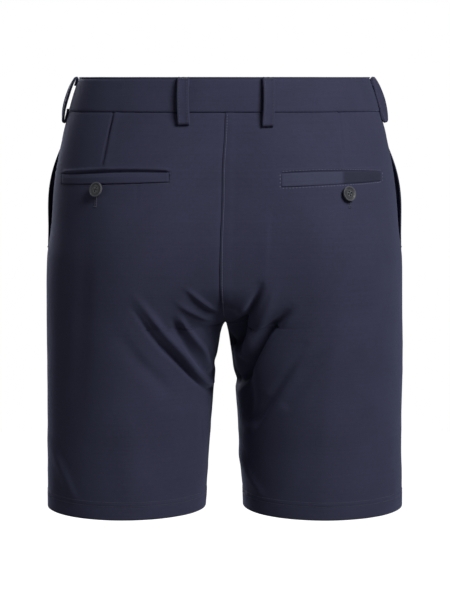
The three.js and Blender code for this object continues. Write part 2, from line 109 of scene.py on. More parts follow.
RINGS = (
    Ring(0, 151, 102, 116),
    Ring(35, 162, 107, 120),
    Ring(62, 169.5, 113, 121),
    Ring(108, 178, 122, 119),
    Ring(155, 182, 127, 116),
    Ring(190, 186.5, 125, 112),
    Ring(254, 187.5, 112, 100),
    Ring(350, 187.5, 98, 88),
    Ring(452.5, 188, 90, 80),
)


class RingShape(NamedTuple):
    """The girth worked out at one or more drops."""

    above: Array
    radius: Array
    centre: Array
    end: Array
    crowd: Array
    back: Array
    front: Array


def smooth(value: Array, low: float, high: float) -> Array:
    """Ease from 0 to 1 as a value goes from low to high."""
    share = np.clip((np.asarray(value, float) - low) / (high - low), 0.0, 1.0)
    return share * share * (3.0 - 2.0 * share)


def bell(distance: Array, spread: Array | float) -> Array:
    """A soft bump that is 1 at distance 0 and dies away over a few spreads."""
    return np.exp(-((np.asarray(distance, float) / spread) ** 2))


def unit(vectors: Array) -> Array:
    """The same vectors at length 1."""
    return vectors / np.maximum(np.linalg.norm(vectors, axis=-1, keepdims=True), 1e-12)


@dataclass(frozen=True)
class GarmentForm:
    """The worn form of the cloth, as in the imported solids, in millimetres."""

    crotch_drop: float = 254.0  # drop at which the legs part
    hem_drop: float = 452.5
    band_height: float = 35.0
    half_leg_gap: float = 20.0  # half the gap between the hems
    arch_point: float = 0.01  # roundness of the gap's top
    back_curve: float = 46.0  # height of the round between the legs, behind
    front_curve: float = 72.0  # the same in front
    seat_valley: float = 3.0  # how deep the centre back seam lies between the seats
    crotch_fullness: float = 0.65  # how round the inner legs are at the crotch, 1 for an oval
    fullness_reach: float = 130.0  # how far above and below the crotch that fades
    front_dip: float = 9.0  # how much lower the front lies
    column_crowding: float = 4.0  # how few of the last columns follow the ring's moving end

    def column(self, name: str, drop: Array) -> Array:
        """One column of the ring table at any drop, smooth through every row.

        Args:
            name: the column's name.
            drop: drops to read it at.

        Returns:
            The column's values.
        """
        drops = np.array([ring.drop for ring in RINGS])
        values = np.array([getattr(ring, name) for ring in RINGS])
        last = len(RINGS) - 1
        before = np.maximum(np.arange(last + 1) - 1, 0)
        after = np.minimum(np.arange(last + 1) + 1, last)
        slopes = (values[after] - values[before]) / (drops[after] - drops[before])
        inside = np.clip(drop, drops[0], drops[-1])
        row = np.clip(np.searchsorted(drops, inside) - 1, 0, last - 1)
        step = drops[row + 1] - drops[row]
        t = (inside - drops[row]) / step
        start = 2 * t**3 - 3 * t**2 + 1
        bend = (t**3 - 2 * t**2 + t) * step * slopes[row] + (t**3 - t**2) * step * slopes[row + 1]
        return start * values[row] + (1 - start) * values[row + 1] + bend

    def ring(self, drop: Array) -> RingShape:
        """The girth at a drop: one oval above the crotch, a ring for each leg below it.

        Args:
            drop: drops below the top edge.

        Returns:
            The girth there.
        """
        drop = np.asarray(drop, float)
        half = self.column("half_width", drop)
        above = self.crotch_drop - drop
        upper = above > 0
        merge = np.clip(1 - above / self.crotch_drop, 0, 1)
        down = np.maximum(-above, 0) / (self.hem_drop - self.crotch_drop)
        least = math.sqrt(self.arch_point)
        opened = (np.sqrt(down + self.arch_point) - least) / (math.sqrt(1 + self.arch_point) - least)
        gap = self.half_leg_gap * opened
        radius = np.where(upper, half / (1 + merge), (half - gap) / 2)
        centre = np.where(upper, merge * radius, gap + radius)
        end = np.where(upper, np.arccos(-merge), np.pi)
        crowd = np.where(upper, 1 + self.column_crowding * (2 * end / np.pi - 1) ** 2, 1.0)
        return RingShape(
            above, radius, centre, end, crowd, self.column("back", drop), self.column("front", drop)
        )

    @staticmethod
    def angle(ring: RingShape, share: Array) -> Array:
        """The angle round a ring at a share; the last shares follow the ring's moving end."""
        size = np.abs(share)
        return np.sign(share) * (size * np.pi - (np.pi - ring.end) * size**ring.crowd)

    def share(self, ring: RingShape, angle: Array) -> Array:
        """The share at which a ring reaches an angle.

        Args:
            ring: the girth.
            angle: angles round it.

        Returns:
            Shares.
        """
        share = angle / ring.end
        for _ in range(8):
            held = np.maximum(share, 0)
            rate = np.pi - (np.pi - ring.end) * ring.crowd * held ** (ring.crowd - 1)
            share = share - (self.angle(ring, held) - angle) / rate
        return share

    def share_across(self, across: Array, drop: Array) -> Array:
        """The share of a panel at a distance from the centre plane."""
        ring = self.ring(drop)
        cosine = np.clip((across - ring.centre) / ring.radius, -1, 1)
        return self.share(ring, np.arccos(cosine))

    def depth(self, ring: RingShape, face: Face, angle: Array) -> Array:
        """How deep a ring is at an angle; it sinks where the centre seam turns under.

        Args:
            ring: the girth.
            face: back or front.
            angle: angles round it.

        Returns:
            Millimetres from the side seams' plane.
        """
        depth = ring.back if face is Face.BACK else ring.front
        curve = self.back_curve if face is Face.BACK else self.front_curve
        valley = self.seat_valley if face is Face.BACK else 0.0
        near = smooth(np.abs(ring.above), 0, self.fullness_reach)
        fullness = self.crotch_fullness + (1 - self.crotch_fullness) * near
        sine = np.sin(angle)
        lift = np.sign(sine) * np.abs(sine) ** fullness
        part = np.clip(ring.above / curve, 0, 1)
        reach = np.sqrt(1 - (1 - part) ** 2)
        hollow = valley * np.sin(np.pi * ring.above / self.crotch_drop) ** 2
        span = np.maximum(1 - np.abs(np.sin(ring.end)) ** fullness, 1e-6)
        sunk = np.minimum((depth * (1 - reach) + hollow) / span, depth)
        inner = np.where(ring.above <= 0, depth * lift, depth - sunk * (1 - lift))
        return np.where(angle <= np.pi / 2, depth * sine, inner)

    def point(self, side: Side, face: Face, share: Array, drop: Array) -> Array:
        """Points of the smooth form.

        Args:
            side: side of the wearer.
            face: back or front.
            share: place between the side seam (0) and the centre seam or inseam (1).
            drop: distance below the waistband's top edge.

        Returns:
            The points.
        """
        share, drop = np.broadcast_arrays(np.asarray(share, float), np.asarray(drop, float))
        ring = self.ring(drop)
        angle = self.angle(ring, share)
        across = ring.centre + ring.radius * np.cos(angle)
        deep = self.depth(ring, face, angle)
        dip = 0.0
        if face is Face.FRONT:
            raised = np.maximum(ring.above, 0) / self.crotch_drop
            dip = self.front_dip * (deep / ring.front) ** 2 * raised
        height = self.band_height / 2 - drop - dip
        return np.stack([side * across, face * deep, height], axis=-1)

    def around(self, turn: Array, drop: Array) -> Array:
        """Points round the whole waist, on past the centre front where a turn is past 2.

        Args:
            turn: turns round the waist.
            drop: their drops.

        Returns:
            The points.
        """
        turn, drop = np.broadcast_arrays(np.asarray(turn, float), np.asarray(drop, float))
        size = np.abs(turn)
        crossed = size > 2
        place = np.where(crossed, 4 - size, size)
        sign = np.where(crossed, -1, 1) * np.where(turn < 0, -1, 1)
        back = self.point(Side.RIGHT, Face.BACK, 1 - place, drop)
        front = self.point(Side.RIGHT, Face.FRONT, place - 1, drop)
        found = np.where((place < 1)[..., None], back, front)
        return found * np.stack([sign, np.ones_like(sign), np.ones_like(sign)], axis=-1)

    def around_normal(self, turn: Array, drop: Array) -> Array:
        """Outward directions round the waist."""
        return surface_normal(self.around, turn, drop, -1)

    def around_length(self, drop: Array) -> Array:
        """Millimetres of garment to one turn at a drop, near the centre seams."""
        ring = self.ring(drop)
        slowed = np.pi - (np.pi - ring.end) * ring.crowd
        return ring.radius * slowed * np.sin(ring.end)


def surface_normal(surface: Callable[[Array, Array], Array], share: Array, drop: Array, way: int) -> Array:
    """Outward directions of a surface given by share and drop.

    Args:
        surface: the surface.
        share: first coordinates.
        drop: second coordinates.
        way: 1 or -1, so that the direction points out of the garment.

    Returns:
        Directions of length 1.
    """
    share_step, drop_step = 0.004, 0.4
    along = surface(share + share_step, drop) - surface(share - share_step, drop)
    down = surface(share, drop + drop_step) - surface(share, drop - drop_step)
    return unit(np.cross(along, down)) * way


# ---- creases


@dataclass(frozen=True)
class Crease:
    """A soft ridge or trough along a curve on one panel."""

    outer: float  # spread towards the side seam
    inner: float  # spread towards the centre
    # places along it, as (distance from the centre plane, drop, rise), less than 0 in a trough
    path: tuple[Point, ...]

    def line(self) -> Array:
        """The path as a smooth line of places with their rises."""
        return smooth_line(np.array(self.path, float), 6)

    def swell(self, across: Array, drop: Array) -> Array:
        """How far the crease moves the cloth out.

        Args:
            across: distances from the centre plane.
            drop: their drops.

        Returns:
            Millimetres outwards.
        """
        line = self.line()
        reach = 2.6 * max(self.outer, self.inner)
        near = (across > line[:, 0].min() - reach) & (across < line[:, 0].max() + reach)
        near &= (drop > line[:, 1].min() - reach) & (drop < line[:, 1].max() + reach)
        found = np.zeros(across.shape)
        if not near.any():
            return found
        here = np.stack([across[near], drop[near]], axis=-1)
        start = line[:-1, :2]
        step = np.diff(line[:, :2], axis=0)
        offset = here[:, None] - start
        part = np.clip((offset * step).sum(-1) / (step**2).sum(-1), 0, 1)
        offset = offset - part[..., None] * step
        away = np.linalg.norm(offset, axis=-1)
        pick = away.argmin(axis=1)
        every = np.arange(len(pick))
        rise = line[pick, 2] + part[every, pick] * np.diff(line[:, 2])[pick]
        spread = np.where(offset[every, pick, 0] > 0, self.outer, self.inner)
        found[near] = rise * bell(away[every, pick], spread)
        return found


def smooth_line(points: Array, per_span: int) -> Array:
    """A line through every point, rounded between them.

    Args:
        points: the points, in rows.
        per_span: steps from each point to the next.

    Returns:
        The line's points, in rows.
    """
    padded = np.vstack([2 * points[0] - points[1], points, 2 * points[-1] - points[-2]])
    t = np.linspace(0, 1, per_span, endpoint=False)[:, None]
    spans = []
    for before, start, end, after in zip(padded, padded[1:], padded[2:], padded[3:]):
        bend = 2 * before - 5 * start + 4 * end - after
        twist = 3 * start - before - 3 * end + after
        spans.append(start + 0.5 * t * (end - before + t * (bend + t * twist)))
    return np.vstack([*spans, points[-1:]])


def crease(outer: float, inner: float, *places: Point) -> Crease:
    """A crease from its two spreads and its places."""
    return Crease(outer, inner, places)


CREASES = {
    (Side.LEFT, Face.BACK): (
        # one long ridge with a sharp trough under it, shorter ones nearer the crotch
        crease(4.6, 3.8, (90, 219, 0.4), (77, 235, 2.6), (60, 258, 5.2), (36, 287, 6.4), (12, 320, 3.4)),
        crease(
            2.7, 2.4, (92, 232, -0.4), (69, 265, -3.4), (40, 295, -4.9), (17, 321, -3.8), (8, 333, -0.8)
        ),
        crease(3.4, 2.8, (45, 240, 0.8), (41, 248, 3.2), (31, 264, 5.0), (20, 280, 5.0), (11, 302, 2.0)),
        crease(3.4, 3.0, (52, 244, -0.6), (43, 261, -3.4), (32, 280, -2.2), (20, 300, -1.0)),
        crease(2.2, 2.0, (38, 211, 0.4), (28, 219, 2.4), (15, 229, 2.2), (5, 236, 0.3)),
        crease(3.2, 3.2, (40, 217, -0.4), (29, 226, -1.2), (15, 235, -1.6), (4, 242, -1.0)),
        crease(3.2, 3.0, (48, 225, 0.4), (40, 231, 2.0), (30, 237, 2.2), (21, 242, 1.4), (13, 246, 0.4)),
        crease(3.5, 3, (30, 248, -0.2), (18, 258, -0.8), (8, 272, -1.4), (5, 292, -0.8)),
        crease(9, 6, (110, 252, -0.2), (89, 283, -1.8), (69, 304, -2.0), (48, 328, -0.4)),
        crease(34, 24, (72, 268, -0.8), (48, 286, -4.4), (28, 304, -5.6), (22, 340, -1.4)),
        crease(7, 4, (183, 380, 0.6), (170, 400, 2.4), (155, 430, 1.2)),
        crease(9, 9, (138, 150, -0.3), (142, 205, -1.3), (146, 270, -1.4), (150, 340, -0.4)),
        crease(14, 14, (100, 330, 0.2), (96, 380, 1.2), (92, 432, 1.3)),
        crease(1.1, 1.1, (87, 109, -0.6), (88, 128, -0.3)),
    ),
    (Side.RIGHT, Face.BACK): (
        # three troughs that run together in the shade beside the crotch
        crease(3.2, 5, (38, 203, -0.4), (34, 217, -5.0), (26, 236, -9.6), (16, 256, -10.5), (7, 277, -6)),
        crease(5.5, 4.5, (50, 213, 0.6), (43, 232, 3.2), (33, 252, 5.6), (24, 268, 7.0), (15, 286, 4.0)),
        crease(7, 9, (8, 242, -4.5), (14, 260, -7.0), (15, 290, -5.6), (20, 322, -4.6), (24, 352, -1.5)),
        crease(
            3.9, 6,
            (67, 232, -1), (56, 245, -7), (43, 259, -12), (33, 275, -12.5), (19, 305, -9), (8, 322, -5),
        ),
        crease(5, 5, (90, 266, 0.4), (66, 292, 2.6), (44, 322, 2.0)),
        crease(3.6, 6, (82, 270, -0.8), (58, 309, -5.0), (37, 346, -4.8), (29, 362, -0.8)),
        crease(6, 5, (110, 266, -0.3), (86, 297, -2.0), (63, 330, -1.3)),
        crease(7, 8, (25, 308, -2.6), (25, 334, -3.6), (20, 360, -1.2)),
        crease(4, 5, (14, 384, 0.4), (20, 400, 2.4), (27, 415, 2.2), (39, 431, 0.9)),
        crease(12, 12, (118, 190, 0.2), (112, 262, 1.0), (104, 340, 1.2), (100, 432, 1.1)),
        crease(1.6, 9, (44, 134, 0.2), (43, 160, 0.8), (41, 200, 0.3)),
    ),
    (Side.LEFT, Face.FRONT): (
        # creases that fan out from the crotch, and the soft fall of the leg
        crease(7, 6, (78, 214, -0.4), (58, 238, -3.2), (36, 262, -4.6), (13, 300, -3.6)),
        crease(6, 5, (92, 228, 0.3), (66, 256, 2.0), (40, 288, 2.2), (18, 320, 1.0)),
        crease(5, 4, (46, 210, 0.3), (30, 226, 2.0), (14, 240, 1.4)),
        crease(8, 6, (104, 252, -0.3), (78, 286, -2.0), (50, 326, -1.4)),
        crease(13, 13, (108, 300, 0.2), (102, 360, 1.2), (98, 432, 1.2)),
    ),
    (Side.RIGHT, Face.FRONT): (
        crease(7, 6, (86, 222, -0.4), (62, 252, -3.6), (38, 280, -4.6), (14, 318, -3.2)),
        crease(6, 5, (58, 206, 0.3), (40, 226, 2.0), (20, 248, 1.8), (9, 262, 0.4)),
        crease(5, 4, (44, 222, -0.5), (27, 240, -2.8), (11, 258, -2.0)),
        crease(7, 6, (112, 262, 0.2), (84, 296, 1.7), (56, 334, 1.2)),
        crease(13, 13, (112, 300, 0.2), (106, 366, 1.1), (101, 432, 1.3)),
    ),
}


def swell_of(side: Side, face: Face, across: Array, drop: Array) -> Array:
    """How far all the creases of one panel move its cloth out.

    Args:
        side: side of the wearer.
        face: back or front.
        across: distances from the centre plane, where less than 0 is past it.
        drop: their drops.

    Returns:
        Millimetres outwards.
    """
    found = np.zeros(across.shape)
    for one in CREASES[side, face]:
        found += one.swell(across, drop)
    return found


@dataclass(frozen=True)
class Unevenness:
    """Smooth unevenness that is the same each time, with cells of a given size."""

    seed: int  # which unevenness
    across: float  # size of a cell round the garment
    down: float  # size of a cell down the garment

    def at(self, across: Array, drop: Array) -> Array:
        """Values from -1 to 1 at places given in millimetres.

        Args:
            across: places round the garment.
            drop: their drops.

        Returns:
            The values.
        """
        cells = 64
        heights = np.random.default_rng(self.seed).uniform(-1, 1, (cells, cells))
        u, v = np.asarray(across, float) / self.across, np.asarray(drop, float) / self.down
        u, v = np.broadcast_arrays(u, v)
        column, row = np.floor(u).astype(int), np.floor(v).astype(int)
        x, y = smooth(u - column, 0, 1), smooth(v - row, 0, 1)
        left, right = column % cells, (column + 1) % cells
        top, foot = row % cells, (row + 1) % cells
        upper = heights[top, left] * (1 - x) + heights[top, right] * x
        lower = heights[foot, left] * (1 - x) + heights[foot, right] * x
        return upper * (1 - y) + lower * y


# ---- meshes


def gone_along(line: Array) -> Array:
    """The length gone along a line at each of its points."""
    return np.concatenate([[0], np.cumsum(np.linalg.norm(np.diff(line, axis=0), axis=1))])


def part_way(values: Array, gone: Array, place: Array) -> Array:
    """Values of a line's points at lengths along it."""
    return np.stack([np.interp(place, gone, values[:, axis]) for axis in range(3)], axis=-1)


def in_scene(name: str, data: bpy.types.ID) -> Piece:
    """A new object in the scene."""
    made = bpy.data.objects.new(name, data)
    bpy.context.scene.collection.objects.link(made)
    return made


def mesh_object(name: str, points: Array, faces: list) -> Piece:
    """A smooth mesh object from points in millimetres and the faces between them.

    Args:
        name: the object's name.
        points: its corners.
        faces: the corners of each face.

    Returns:
        The object.
    """
    mesh = bpy.data.meshes.new(name)
    mesh.from_pydata((points.reshape(-1, 3) * MM).tolist(), [], faces)
    mesh.shade_smooth()
    return in_scene(name, mesh)


def grid_object(name: str, points: Array, uv: Array | None = None, closed: bool = False) -> Piece:
    """A smooth mesh object from a grid of points.

    Args:
        name: the object's name.
        points: points in millimetres, rows by columns by three.
        uv: places on the flat cloth in metres, rows by columns by two.
        closed: True joins the last row to the first, as round a tube, and caps both ends.

    Returns:
        The object, with its place in its mesh.
    """
    rows, columns = points.shape[:2]
    index = np.arange(rows * columns).reshape(rows, columns)
    if closed:
        index = np.vstack([index, index[:1]])
    corners = np.stack([index[:-1, :-1], index[1:, :-1], index[1:, 1:], index[:-1, 1:]], axis=-1)
    faces = corners.reshape(-1, 4).tolist()
    if closed:
        faces += [index[:-1, 0].tolist(), index[:-1, -1][::-1].tolist()]
    made = mesh_object(name, points, faces)
    if uv is not None:
        used = np.zeros(len(made.data.loops), dtype=np.int64)
        made.data.loops.foreach_get("vertex_index", used)
        layer = made.data.uv_layers.new(name="Cloth")
        layer.data.foreach_set("uv", uv.reshape(-1, 2)[used].ravel())
    return made


def face_towards(piece: Piece, outward: Array) -> None:
    """Turns a grid's faces over if its first face doesn't look outward."""
    if piece.data.polygons[0].normal.dot(Vector(outward)) < 0:
        piece.data.flip_normals()


def turn_outward(piece: Piece) -> None:
    """Turns a closed mesh's faces outward, by the sign of its volume.

    Args:
        piece: the object.
    """
    mesh = piece.data
    mesh.calc_loop_triangles()
    corners = np.array([vertex.co for vertex in mesh.vertices])
    triangles = np.array([triangle.vertices for triangle in mesh.loop_triangles])
    a, b, c = (corners[triangles[:, corner]] for corner in range(3))
    if (a * np.cross(b, c)).sum() < 0:
        mesh.flip_normals()


def only(piece: Piece) -> None:
    """Selects one object alone and makes it the active one."""
    bpy.ops.object.select_all(action="DESELECT")
    piece.select_set(True)
    bpy.context.view_layer.objects.active = piece


def finish_modifier(piece: Piece, kind: str, **settings: object) -> None:
    """Adds a modifier with its settings and applies it.

    Args:
        piece: the object.
        kind: the modifier's type.
        settings: its settings by name.
    """
    only(piece)
    modifier = piece.modifiers.new(kind.title(), kind)
    for setting, value in settings.items():
        setattr(modifier, setting, value)
    bpy.ops.object.modifier_apply(modifier=modifier.name)


def thicken(piece: Piece, thickness: float) -> None:
    """Gives a sheet its thickness, on the inner side of its faces."""
    finish_modifier(piece, "SOLIDIFY", thickness=thickness * MM, offset=-1.0, use_rim=True)


def joined(pieces: list[Piece], name: str) -> Piece:
    """Joins meshes into the first of them.

    Args:
        pieces: the objects to join.
        name: name of the result.

    Returns:
        The joined object.
    """
    bpy.ops.object.select_all(action="DESELECT")
    for piece in pieces:
        piece.select_set(True)
    bpy.context.view_layer.objects.active = pieces[0]
    if len(pieces) > 1:
        bpy.ops.object.join()
    pieces[0].name = name
    pieces[0].data.name = name
    return pieces[0]


# ---- stitches


# rings of a stitch's body: (share of the way along it, its girth, its height over the cloth)
STITCH_RINGS = ((0.0, 0.3, -0.7), (0.18, 0.85, 0.2), (0.5, 1.0, 0.75), (0.82, 0.85, 0.2), (1.0, 0.3, -0.7))


@dataclass(frozen=True)
class Thread:
    """A sewing thread and how it is stitched."""

    radius: float = 0.26  # half the thread's thickness
    length: float = 2.3  # one stitch
    gap: float = 0.7  # cloth between two stitches
    sides: int = 5  # faces round the thread

    def bodies(self, name: str, starts: Array, ends: Array, normals: Array) -> Piece:
        """One mesh of stitches, each humped over the cloth from its start to its end.

        Args:
            name: the object's name.
            starts: where each stitch comes out of the cloth.
            ends: where it goes back in.
            normals: the cloth's outward directions there.

        Returns:
            The stitches' object.
        """
        along = ends - starts
        sideways = unit(np.cross(normals, along))
        up = unit(np.cross(along, sideways))
        turns = np.arange(self.sides) * 2 * np.pi / self.sides
        rings = []
        for share, girth, height in STITCH_RINGS:
            middle = starts + along * share + up * height * self.radius
            for turn in turns:
                reach = self.radius * girth
                rings.append(middle + reach * (math.cos(turn) * sideways + math.sin(turn) * up))
        vertices = np.stack(rings, axis=1)
        per_stitch = vertices.shape[1]
        faces = []
        for ring in range(len(STITCH_RINGS) - 1):
            for turn in range(self.sides):
                after = (turn + 1) % self.sides
                low, high = ring * self.sides, (ring + 1) * self.sides
                faces.append((low + turn, high + turn, high + after, low + after))
        first_cap = tuple(range(self.sides))
        last_cap = tuple(per_stitch - 1 - corner for corner in range(self.sides))
        every = [
            tuple(corner + stitch * per_stitch for corner in face)
            for stitch in range(len(starts))
            for face in (*faces, first_cap, last_cap)
        ]
        made = mesh_object(name, vertices, every)
        turn_outward(made)
        return made

    def run(self, name: str, line: Array, normals: Array) -> Piece:
        """A row of running stitches along a line on the cloth.

        Args:
            name: the object's name.
            line: closely spaced points on the cloth.
            normals: the cloth's outward directions there.

        Returns:
            The stitches' object.
        """
        gone = gone_along(line)
        count = max(1, int(gone[-1] / (self.length + self.gap)))
        begin = (np.arange(count) + 0.5) * gone[-1] / count - self.length / 2
        starts, ends = part_way(line, gone, begin), part_way(line, gone, begin + self.length)
        return self.bodies(name, starts, ends, unit(part_way(normals, gone, begin + self.length / 2)))


# ---- panels


# steps of a panel's folded edge, as (distance in from the edge, distance out of the cloth)
EDGE_FOLD = np.array([
    (8.0, -1.75), (4.0, -1.8), (1.6, -1.7), (0.5, -1.4), (0.05, -0.9), (0.05, -0.45), (0.4, -0.14),
    (1.0, -0.02), (1.9, 0.0), (3.0, 0.0), (4.4, 0.0),
])
FOLDED_UNDER = 5  # the steps above that lie behind the fold
# steps of the hem's turn in the same way, from the cloth over the fold to its inner edge
HEM_TURN = np.array([
    (2.2, 0.0), (1.1, -0.08), (0.35, -0.35), (0.0, -0.95), (0.3, -1.6), (1.2, -1.95), (4.0, -2.0),
    (12.0, -2.0), (19.5, -1.9), (20.6, -1.5),
])
HEM_FOLD = 3  # the step that lies on the hem's fold
HEM_ROWS = (19.0, 14.6)  # heights of the two rows of stitches over the fold
SEAM_BLEND = 9.0  # how far from a seam the creases of both sides are blended
# shares at which the cloth's length across a panel is measured, closest together at its inner edge
SAMPLES = 1 - (1 - np.linspace(0, 1, 260)) ** 1.8


@dataclass(frozen=True)
class BackPocket:
    """A welt pocket in a back: its ends as distances from the centre, and its height."""

    side: Side
    inner: float  # distance of the inner end from the centre plane
    outer: float  # distance of the outer end
    outer_mouth: float  # drop of the mouth at its outer end
    inner_mouth: float  # drop of the mouth at its inner end
    crown: float  # how much higher the mouth's middle lies
    outer_foot: float  # drop of the welt's lower edge at its outer end
    inner_foot: float  # drop of the welt's lower edge at its inner end
    gape: float  # how far the mouth stands open over the welt
    pressed: bool  # True if its welt's outer part gets painted shade, and its stitches are paler
    hole_foot: float  # drop of the buttonhole's lower end
    hole_reach: float = 20.0  # length of the buttonhole with its bar

    @property
    def button(self) -> str:
        """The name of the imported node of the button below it."""
        return f"pocket_button_{self.side.word}"

    def along(self, across: Array) -> Array:
        """Share of the way from the outer end to the inner one."""
        return (self.outer - across) / (self.outer - self.inner)

    def top(self, along: Array) -> Array:
        """Drop of the mouth's upper edge."""
        along = np.clip(along, 0, 1)
        ends = self.outer_mouth + (self.inner_mouth - self.outer_mouth) * along
        return ends - self.crown * np.sin(np.pi * along) ** 0.8

    def foot(self, along: Array) -> Array:
        """Drop of the welt's lower edge."""
        return self.outer_foot + (self.inner_foot - self.outer_foot) * np.clip(along, 0, 1)

    def opening(self, along: Array) -> Array:
        """How far the welt's top edge lies below the mouth's."""
        return self.gape * np.sin(np.pi * np.clip(along, 0.02, 0.98)) ** 0.5

    def relief(self, across: Array, drop: Array) -> Array:
        """How the back is pressed in round the pocket: under the welt and along its outline.

        Args:
            across: distances from the centre plane.
            drop: their drops.

        Returns:
            Millimetres outwards.
        """
        along = self.along(across)
        top, foot = self.top(along), self.foot(along)
        beside = np.maximum(self.inner - across, across - self.outer)
        outside = np.maximum(beside, np.maximum(top - drop, drop - foot))
        sunk = -1.5 * (1 - smooth(outside, -1.4, 0.2))
        above = top - drop
        inside = 1 - smooth(beside, -3, 0)
        lip = (0.25 + 0.25 * self.gape) * bell(above - 2.4, 1.6) * inside
        slit = -1.3 * self.gape * bell(above + 0.2, 0.9) * inside
        return sunk + lip + slit - 0.75 * bell(outside - 0.4, 0.75)


BACK_POCKETS = (
    BackPocket(
        Side.LEFT, inner=55.5, outer=166.8, outer_mouth=99.3, inner_mouth=94.3, crown=2.8,
        outer_foot=108.9, inner_foot=104.0, gape=1.9, pressed=False, hole_foot=130.4,
    ),
    # the right welt's outer part gets painted shade, and its stitches are paler
    BackPocket(
        Side.RIGHT, inner=56.8, outer=159.9, outer_mouth=96.6, inner_mouth=95.6, crown=2.2,
        outer_foot=105.4, inner_foot=108.9, gape=0.4, pressed=True, hole_foot=131.4,
    ),
)


@dataclass(frozen=True)
class Dart:
    """A dart in a back, sewn from the waist seam down to its point."""

    side: Side
    top_across: float  # distance from the centre plane at the waist seam
    tip_across: float  # the same at its point
    tip_drop: float  # drop of its point
    depth: float  # depth of its groove
    top_drop: float = 35.0

    def relief(self, across: Array, drop: Array) -> Array:
        """The dart's fine groove, and the fullness that its point lets out.

        Args:
            across: distances from the centre plane.
            drop: their drops.

        Returns:
            Millimetres outwards.
        """
        share = np.clip((drop - self.top_drop) / (self.tip_drop - self.top_drop), 0, 1)
        line = self.top_across + (self.tip_across - self.top_across) * share
        fade = smooth(self.tip_drop + 1 - drop, 0, 9)
        beside = across - line
        fold = 0.55 * (1 - smooth(beside, -0.9, 0.1)) * smooth(beside, -9, -1)
        groove = (fold - self.depth * bell(beside - 0.2, 0.85)) * fade
        fullness = 0.7 * bell(beside + 4, 6) * bell(drop - self.tip_drop + 2, 7)
        return groove + fullness


DARTS = (Dart(Side.LEFT, 112.0, 123.4, 91.5, 2.2), Dart(Side.RIGHT, 115.6, 120.2, 91.0, 1.1))

# places on the centre back seam, as (drop, how far it has drifted off the middle)
SEAT_SEAM = np.array([
    (34, 1.0), (58, 0.0), (90, -2.0), (125, -2.5), (165, -4.0), (205, -4.4), (228, -3.2), (243, -1.2),
    (254, 0.0),
])


def seam_drift(drop: Array) -> Array:
    """How far the centre back seam lies off the middle at a drop, in millimetres."""
    line = smooth_line(SEAT_SEAM, 6)
    return np.interp(drop, line[:, 0], line[:, 1])


@dataclass(frozen=True)
class SlantPocket:
    """A slant side pocket, whose mouth runs from the waist seam to the side seam."""

    form: GarmentForm
    top: float = 38.0  # how far from the side seam the mouth starts
    end_drop: float = 186.0  # drop at which it meets the side seam
    gape: float = 8.5  # how far the front stands off there
    reach: float = 34.0  # how far round the front that fades
    overlap: float = 22.0  # how far the facing reaches past the mouth
    layer_gap: float = 1.1  # air between front and facing

    def left(self, drop: Array) -> Array:
        """What is left of the mouth's slant below a drop, from 1 at the waist seam to 0."""
        start = self.form.band_height
        return np.clip((self.end_drop - drop) / (self.end_drop - start), 0, None)

    def angle(self, ring: RingShape, drop: Array) -> Array:
        """The angle round the ring at which the mouth lies."""
        return self.top * self.left(drop) / ring.front

    def share(self, drop: Array) -> Array:
        """The share of the front at which the mouth lies."""
        ring = self.form.ring(drop)
        return self.form.share(ring, self.angle(ring, drop))

    def lift(self, share: Array, drop: Array) -> Array:
        """How far the front stands out where its pocket gapes.

        Args:
            share: places across the front.
            drop: their drops.

        Returns:
            Millimetres outwards.
        """
        ring = self.form.ring(drop)
        down = np.clip(1 - self.left(drop), 0, 1)
        beyond = self.form.angle(ring, np.maximum(share, 0)) - self.angle(ring, drop)
        away = np.maximum(beyond, 0) * ring.front / self.reach
        return self.gape * np.sin(np.pi * down) ** 1.2 * bell(away, 1.0)


@dataclass(frozen=True)
class Fly:
    """The front closing: the left front lies over the right, stitched in a J."""

    end_drop: float = 188.0  # drop of the fly's foot
    lap: float = 3.6  # how far the left front reaches over the centre
    stand: float = 1.5  # how far it stands off
    width: float = 35.0  # distance of its stitches from the centre
    turn_drop: float = 148.0  # drop at which they turn in

    def fade(self, drop: Array) -> Array:
        """1 where the fly opens, easing to 0 at its foot."""
        return 1 - smooth(drop, self.end_drop - 14, self.end_drop)

    def stitch_line(self) -> Array:
        """The J of stitches on the left front, as (distance from the centre, drop).

        Returns:
            Its places, in rows.
        """
        straight = [(self.width, drop) for drop in np.linspace(38, self.turn_drop, 40)]
        depth = self.end_drop - 4 - self.turn_drop
        bends = np.linspace(0, np.pi / 2, 24)[1:]
        bend = [(self.width * math.cos(a) + 0.6, self.turn_drop + depth * math.sin(a)) for a in bends]
        return np.array([*straight, *bend])


